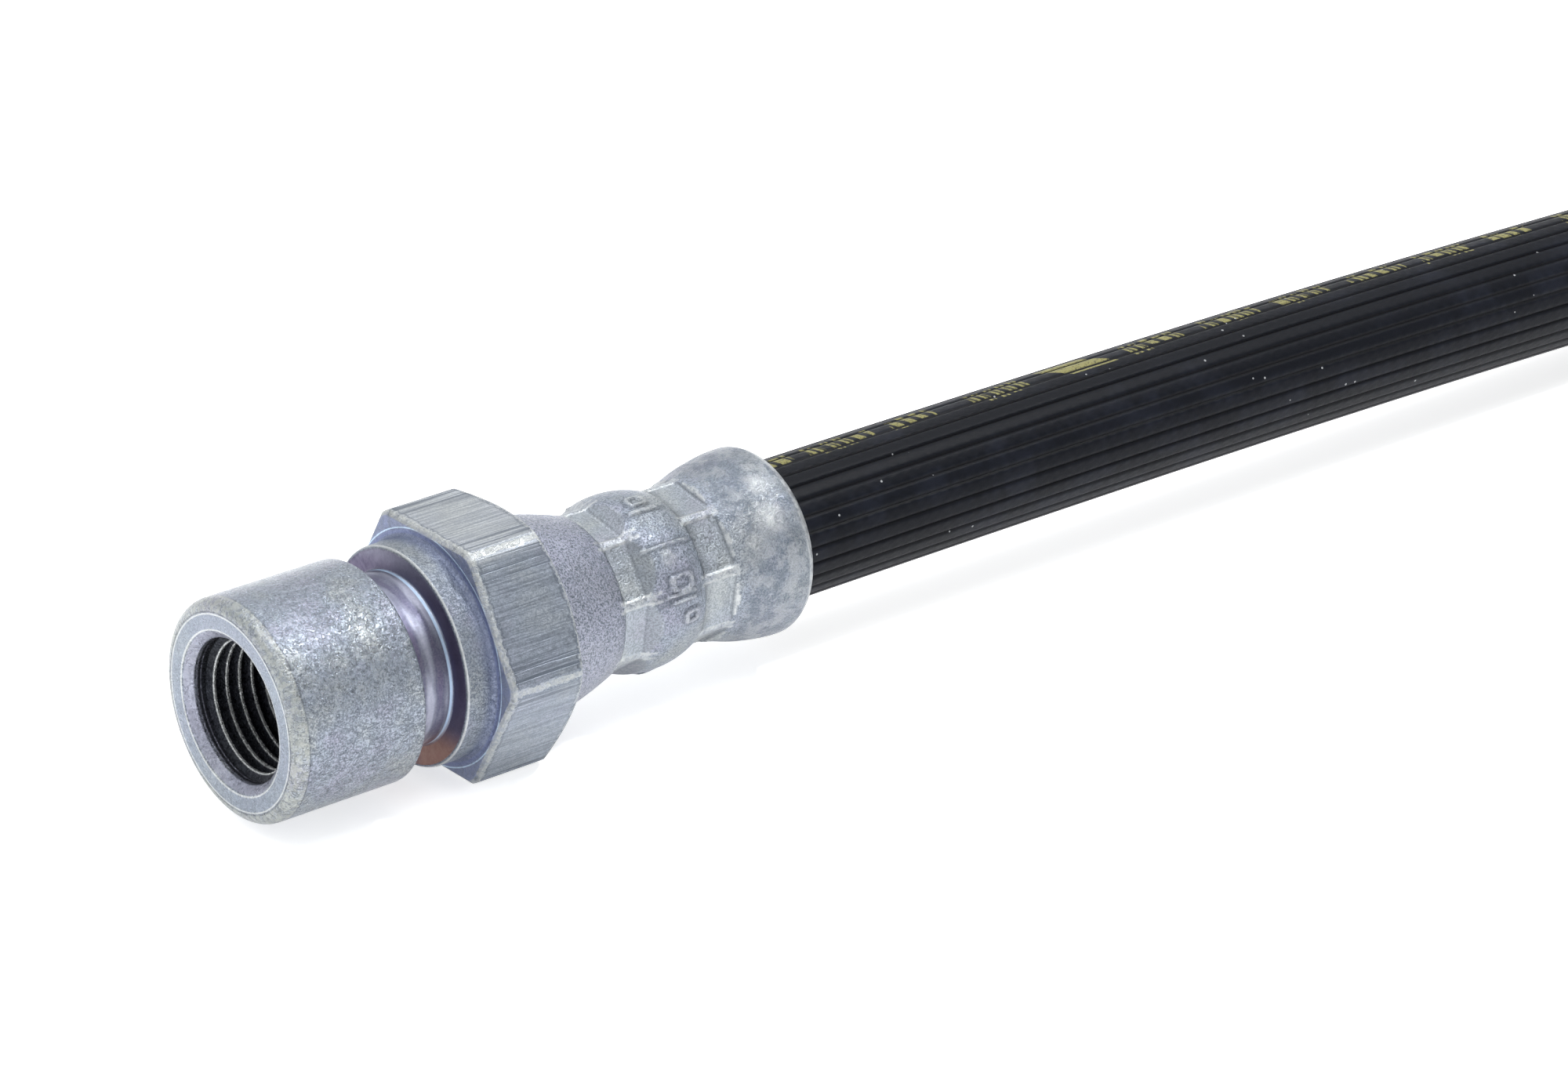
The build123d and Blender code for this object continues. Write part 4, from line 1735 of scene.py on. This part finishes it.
# ---------------------------------------------------------------- hose
@dataclass
class Hose:
    """The ribbed cover, built as a tube with a wall."""

    radius: float = 5.0
    bore: float = 3.7
    ribs: int = 27
    rib_shape: tuple[float, ...] = (0.13, 0.02, 0.0, 0.0, 0.0, 0.0, 0.0, 0.02)
    points_per_run: int = 14
    round_again: float = 19.0

    def route(self) -> list[Vector]:
        """Corners of the hose's free run.

        Returns:
            The points in metres, from the female ferrule's rim to the male one's.
        """
        start, stop, floor = End.FEMALE.at(PLACES.ferrule), End.MALE.at(PLACES.ferrule), -3.5
        leaving = [(26.0, 0.0, 0.0), (62.0, 0.25, 0.17), (101.0, 0.5, 0.56), (141.0, 0.2, 1.0)]
        arriving = [(87.0, -0.3, 0.986), (52.0, -0.35, 0.343), (24.0, 0.0, 0.0)]
        corners = [(start, 0.0, 0.0)]
        corners += [(start + run, sway, floor * sink) for run, sway, sink in leaving]
        corners += [(stop - run, sway, floor * sink) for run, sway, sink in arriving]
        corners += [(stop, 0.0, 0.0)]
        return [Vector(corner) * MM for corner in corners]

    def line(self) -> list[Vector]:
        """Follow the route's smooth spline.

        Returns:
            Points read from it, in metres.
        """
        curve = bpy.data.curves.new("hose_line", "CURVE")
        curve.dimensions, curve.resolution_u = "3D", self.points_per_run
        spline = curve.splines.new("NURBS")
        corners = self.route()
        spline.points.add(len(corners) - 1)
        for point, corner in zip(spline.points, corners):
            point.co = (*corner, 1.0)
        spline.order_u, spline.use_endpoint_u = 3, True
        holder = bpy.data.objects.new("hose_line", curve)
        bpy.context.scene.collection.objects.link(holder)
        mesh = bpy.data.meshes.new_from_object(holder)
        points = [vert.co.copy() for vert in mesh.vertices]
        bpy.data.objects.remove(holder)
        bpy.data.meshes.remove(mesh)
        return points

    def build(self, material: bpy.types.Material, fellows: Sequence[bpy.types.Object]) -> bpy.types.Object:
        """Args:
            material: the cover's finish.
            fellows: the pieces at its far end and the layers inside it; not used.

        Returns:
            The cover.
        """
        free, gripped = self.line(), (*PLACES.squeezed, (self.round_again, self.radius))
        into = [(Vector((End.FEMALE.at(s) * MM, 0, 0)), r) for s, r in gripped]
        out = [(Vector((End.MALE.at(s) * MM, 0, 0)), r) for s, r in reversed(gripped)]
        rings = into + [(point, self.radius) for point in free] + out
        path = [point for point, _ in rings]
        lengths = [0.0]
        for one, two in zip(path, path[1:]):
            lengths.append(lengths[-1] + (two - one).length / MM)
        count = self.ribs * len(self.rib_shape)
        verts: list[Vector] = []
        for index, (point, radius) in enumerate(rings):
            before, after = path[max(index - 1, 0)], path[min(index + 1, len(path) - 1)]
            ahead = (after - before).normalized()
            across = (Vector((0, 1, 0)) - ahead * ahead.y).normalized()
            up = ahead.cross(across)
            scale = radius / self.radius
            for reach in (None, self.bore):
                for k in range(count):
                    depth = self.rib_shape[k % len(self.rib_shape)]
                    size = (self.radius - depth if reach is None else reach) * scale * MM
                    angle = math.tau * k / count
                    verts.append(point + (across * math.cos(angle) + up * math.sin(angle)) * size)
        faces, uvs = self.wrap(len(rings), count, lengths)
        mesh = bpy.data.meshes.new("hose_cover")
        mesh.from_pydata(verts, [], faces)
        layer = mesh.uv_layers.new(name="lay")
        layer.data.foreach_set("uv", [value for uv in uvs for value in uv])
        cover = bpy.data.objects.new("hose_cover", mesh)
        bpy.context.scene.collection.objects.link(cover)
        deselect()
        cover.select_set(True)
        bpy.context.view_layer.objects.active = cover
        bpy.ops.object.shade_smooth_by_angle(angle=math.radians(60))
        fasten(cover, "hose_ribbed_cover", material)
        tuple(free[0])
        hidden = 2 * (PLACES.ferrule - PLACES.squeezed[0][0])
        LOG.info("hose: %.1f mm cut length, %.1f mm between the ferrules", lengths[-1], lengths[-1] - hidden)
        return cover

    def wrap(
        self, rings: int, count: int, lengths: Sequence[float]
    ) -> tuple[list[tuple[int, ...]], list[Point]]:
        """Faces of a tube with a wall, and where each of their corners lies.

        Args:
            rings: number of rings along the tube.
            count: points round each ring.
            lengths: distance of each ring along the tube in millimetres.

        Returns:
            The faces, and a (length, turn) for each corner in the same order.
        """
        faces, uvs = [], []

        def add(corners: Sequence[tuple[int, int, int]]) -> None:
            """Add a face from (ring, wall, place round) corners."""
            faces.append(tuple(ring * 2 * count + wall * count + k % count for ring, wall, k in corners))
            uvs.extend((lengths[ring], k / count) for ring, wall, k in corners)

        for k in range(count):
            for ring in range(rings - 1):
                add([(ring, 0, k), (ring + 1, 0, k), (ring + 1, 0, k + 1), (ring, 0, k + 1)][::-1])
                add([(ring, 1, k), (ring, 1, k + 1), (ring + 1, 1, k + 1), (ring + 1, 1, k)][::-1])
            add([(0, 0, k), (0, 0, k + 1), (0, 1, k + 1), (0, 1, k)][::-1])
            last = rings - 1
            add([(last, 0, k), (last, 1, k), (last, 1, k + 1), (last, 0, k + 1)][::-1])
        return faces, uvs


# ---------------------------------------------------------------- studio
@dataclass(frozen=True)
class Lamp:
    """One soft square light that faces the female end."""

    name: str
    place: Triple
    size: float
    power: float
    target: Triple = (0.025, 0.0, 0.0)

    def hang(self) -> None:
        """Put the light in the scene, turned towards the fittings."""
        lamp = bpy.data.lights.new(self.name, "AREA")
        lamp.size, lamp.energy = self.size, self.power
        holder = bpy.data.objects.new(self.name, lamp)
        holder.location = self.place
        aim = Vector(self.target) - Vector(self.place)
        holder.rotation_euler = aim.to_track_quat("-Z", "Y").to_euler()
        bpy.context.scene.collection.objects.link(holder)


@dataclass
class Studio:
    """Pale floor, soft lights and the camera."""

    camera_at: Triple = (-200.77, -306.09, 179.34)
    forward: Triple = (0.57141, 0.70760, -0.41569)
    lens: float = 143.05
    sensor: float = 36.0
    floor_size: float = 6.0
    paper: tuple[Colour, Colour] = ((0.86, 0.86, 0.86), (0.90, 0.90, 0.90))
    glow: float = 0.60
    sky: Colour = (0.97, 0.985, 1.0)
    air: float = 1.05
    dusk: float = 0.40
    dusk_side: Triple = (0.571, -0.709, 0.413)
    dusk_span: Point = (0.35, 0.90)
    lamps: tuple[Lamp, ...] = (
        Lamp("top", (0.0, 0.0, 2.0), 2.2, 36.0),
        Lamp("key", (0.325, -0.155, 0.50), 0.05, 1.9),
        Lamp("side", (0.28, -0.70, 0.30), 0.20, 0.10),
        Lamp("back", (0.9, 1.3, 0.55), 1.6, 2.0),
    )

    def build(self) -> None:
        """Set up the floor, the lights and the camera."""
        self.lay_floor()
        self.fill_air()
        for lamp in self.lamps:
            lamp.hang()
        self.set_camera()

    def lay_floor(self) -> None:
        """Lay the pale paper that the hose stands on."""
        deselect()
        bpy.ops.mesh.primitive_plane_add(size=self.floor_size, location=(0, 0, PLACES.floor * MM))
        floor = bpy.context.object
        floor.name = "studio_floor"
        sheet = NodeSheet("studio_paper")
        tone = sheet.mix(sheet.noise(sheet.place(), 0.004, 2.0), *self.paper)
        paper = sheet.dress(
            Base_Color=tone, Roughness=0.9, Emission_Color=(1.0, 1.0, 1.0), Emission_Strength=self.glow
        )
        floor.data.materials.append(paper)

    def fill_air(self) -> None:
        """Fill the studio with soft light that is weaker from one side."""
        world = bpy.data.worlds.new("studio_air")
        world.use_nodes = True
        tree = world.node_tree
        air = tree.nodes["Background"]
        air.inputs[0].default_value = (*self.sky, 1.0)
        heading = tree.nodes.new("ShaderNodeTexCoord")
        facing = tree.nodes.new("ShaderNodeVectorMath")
        facing.operation = "DOT_PRODUCT"
        facing.inputs[1].default_value = self.dusk_side
        fall = tree.nodes.new("ShaderNodeMapRange")
        fall.interpolation_type = "SMOOTHSTEP"
        limits = zip(("From Min", "From Max", "To Min", "To Max"), (*self.dusk_span, self.air, self.dusk))
        for name, value in limits:
            fall.inputs[name].default_value = value
        tree.links.new(heading.outputs["Generated"], facing.inputs[0])
        tree.links.new(facing.outputs["Value"], fall.inputs["Value"])
        tree.links.new(fall.outputs[0], air.inputs[1])
        bpy.context.scene.world = world
        bpy.context.scene.view_settings.view_transform = "Standard"

    def set_camera(self) -> None:
        """Set up the camera, low over the female end."""
        camera = bpy.data.objects.new("camera", bpy.data.cameras.new("camera"))
        camera.location = Vector(self.camera_at) * MM
        camera.rotation_euler = Vector(self.forward).to_track_quat("-Z", "Y").to_euler()
        camera.data.lens, camera.data.sensor_width = self.lens, self.sensor
        camera.data.clip_start, camera.data.clip_end = 0.01, 20.0
        bpy.context.scene.collection.objects.link(camera)
        bpy.context.scene.camera = camera


# ---------------------------------------------------------------- the whole
def dress_inner_pieces(nodes: dict[str, bpy.types.Object]) -> list[bpy.types.Object]:
    """Give the CAD pieces inside the hose their own finishes.

    Args:
        nodes: the frame's CAD objects by name.

    Returns:
        The hose's inner layers and the far insert, which lie along the cord.
    """
    insert = PlainFinish(
        "insert_steel",
        light=(0.55, 0.56, 0.57),
        dark=(0.32, 0.33, 0.34),
        metallic=0.9,
        roughness=0.25,
        grain=(6.0, 1.0, 1.0),
        relief=0.01,
    )
    liner = PlainFinish(
        "liner_rubber",
        light=(0.035, 0.035, 0.036),
        dark=(0.016, 0.016, 0.017),
        metallic=0.0,
        roughness=0.5,
        grain=(3.0, 3.0, 3.0),
        relief=0.02,
    )
    finishes = {
        "female_barbed_insert": insert.material(),
        "hose_inner_tube": liner.material(),
        "hose_inner_braid": BraidFinish().material(),
    }
    finishes["male_barbed_insert"] = finishes["female_barbed_insert"]
    finishes["hose_cushion_layer"] = finishes["hose_inner_tube"]
    finishes["hose_outer_braid"] = finishes["hose_inner_braid"]
    for name, material in finishes.items():
        node = nodes[name]
        node.data.materials.clear()
        node.data.materials.append(material)
        LOG.info("%s dressed in %s", name, material.name)
    return [nodes[name] for name in finishes if name != "female_barbed_insert"]


def main() -> None:
    """Build the whole visual model in order."""
    logging.basicConfig(level=logging.INFO, format="%(name)s: %(message)s")
    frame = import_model()
    Studio().build()
    along = dress_inner_pieces(frame["nodes"])
    female = ZincFinish("zinc_female", End.FEMALE, PLACES.female_front, 10.2, 16.0)
    male = ZincFinish("zinc_male", End.MALE, PLACES.male_front, 337.9, 340.6)
    FemaleFitting().build(female.material())
    along.append(MaleFitting().build(male.material()))
    for end in End:
        ferrule = Ferrule(end).build(FerruleFinish(f"zinc_{end.label}_ferrule", end).material())
        if end is End.MALE:
            along.append(ferrule)
    Hose().build(CoverFinish().material(), along)


if __name__ == "__main__":
    main()
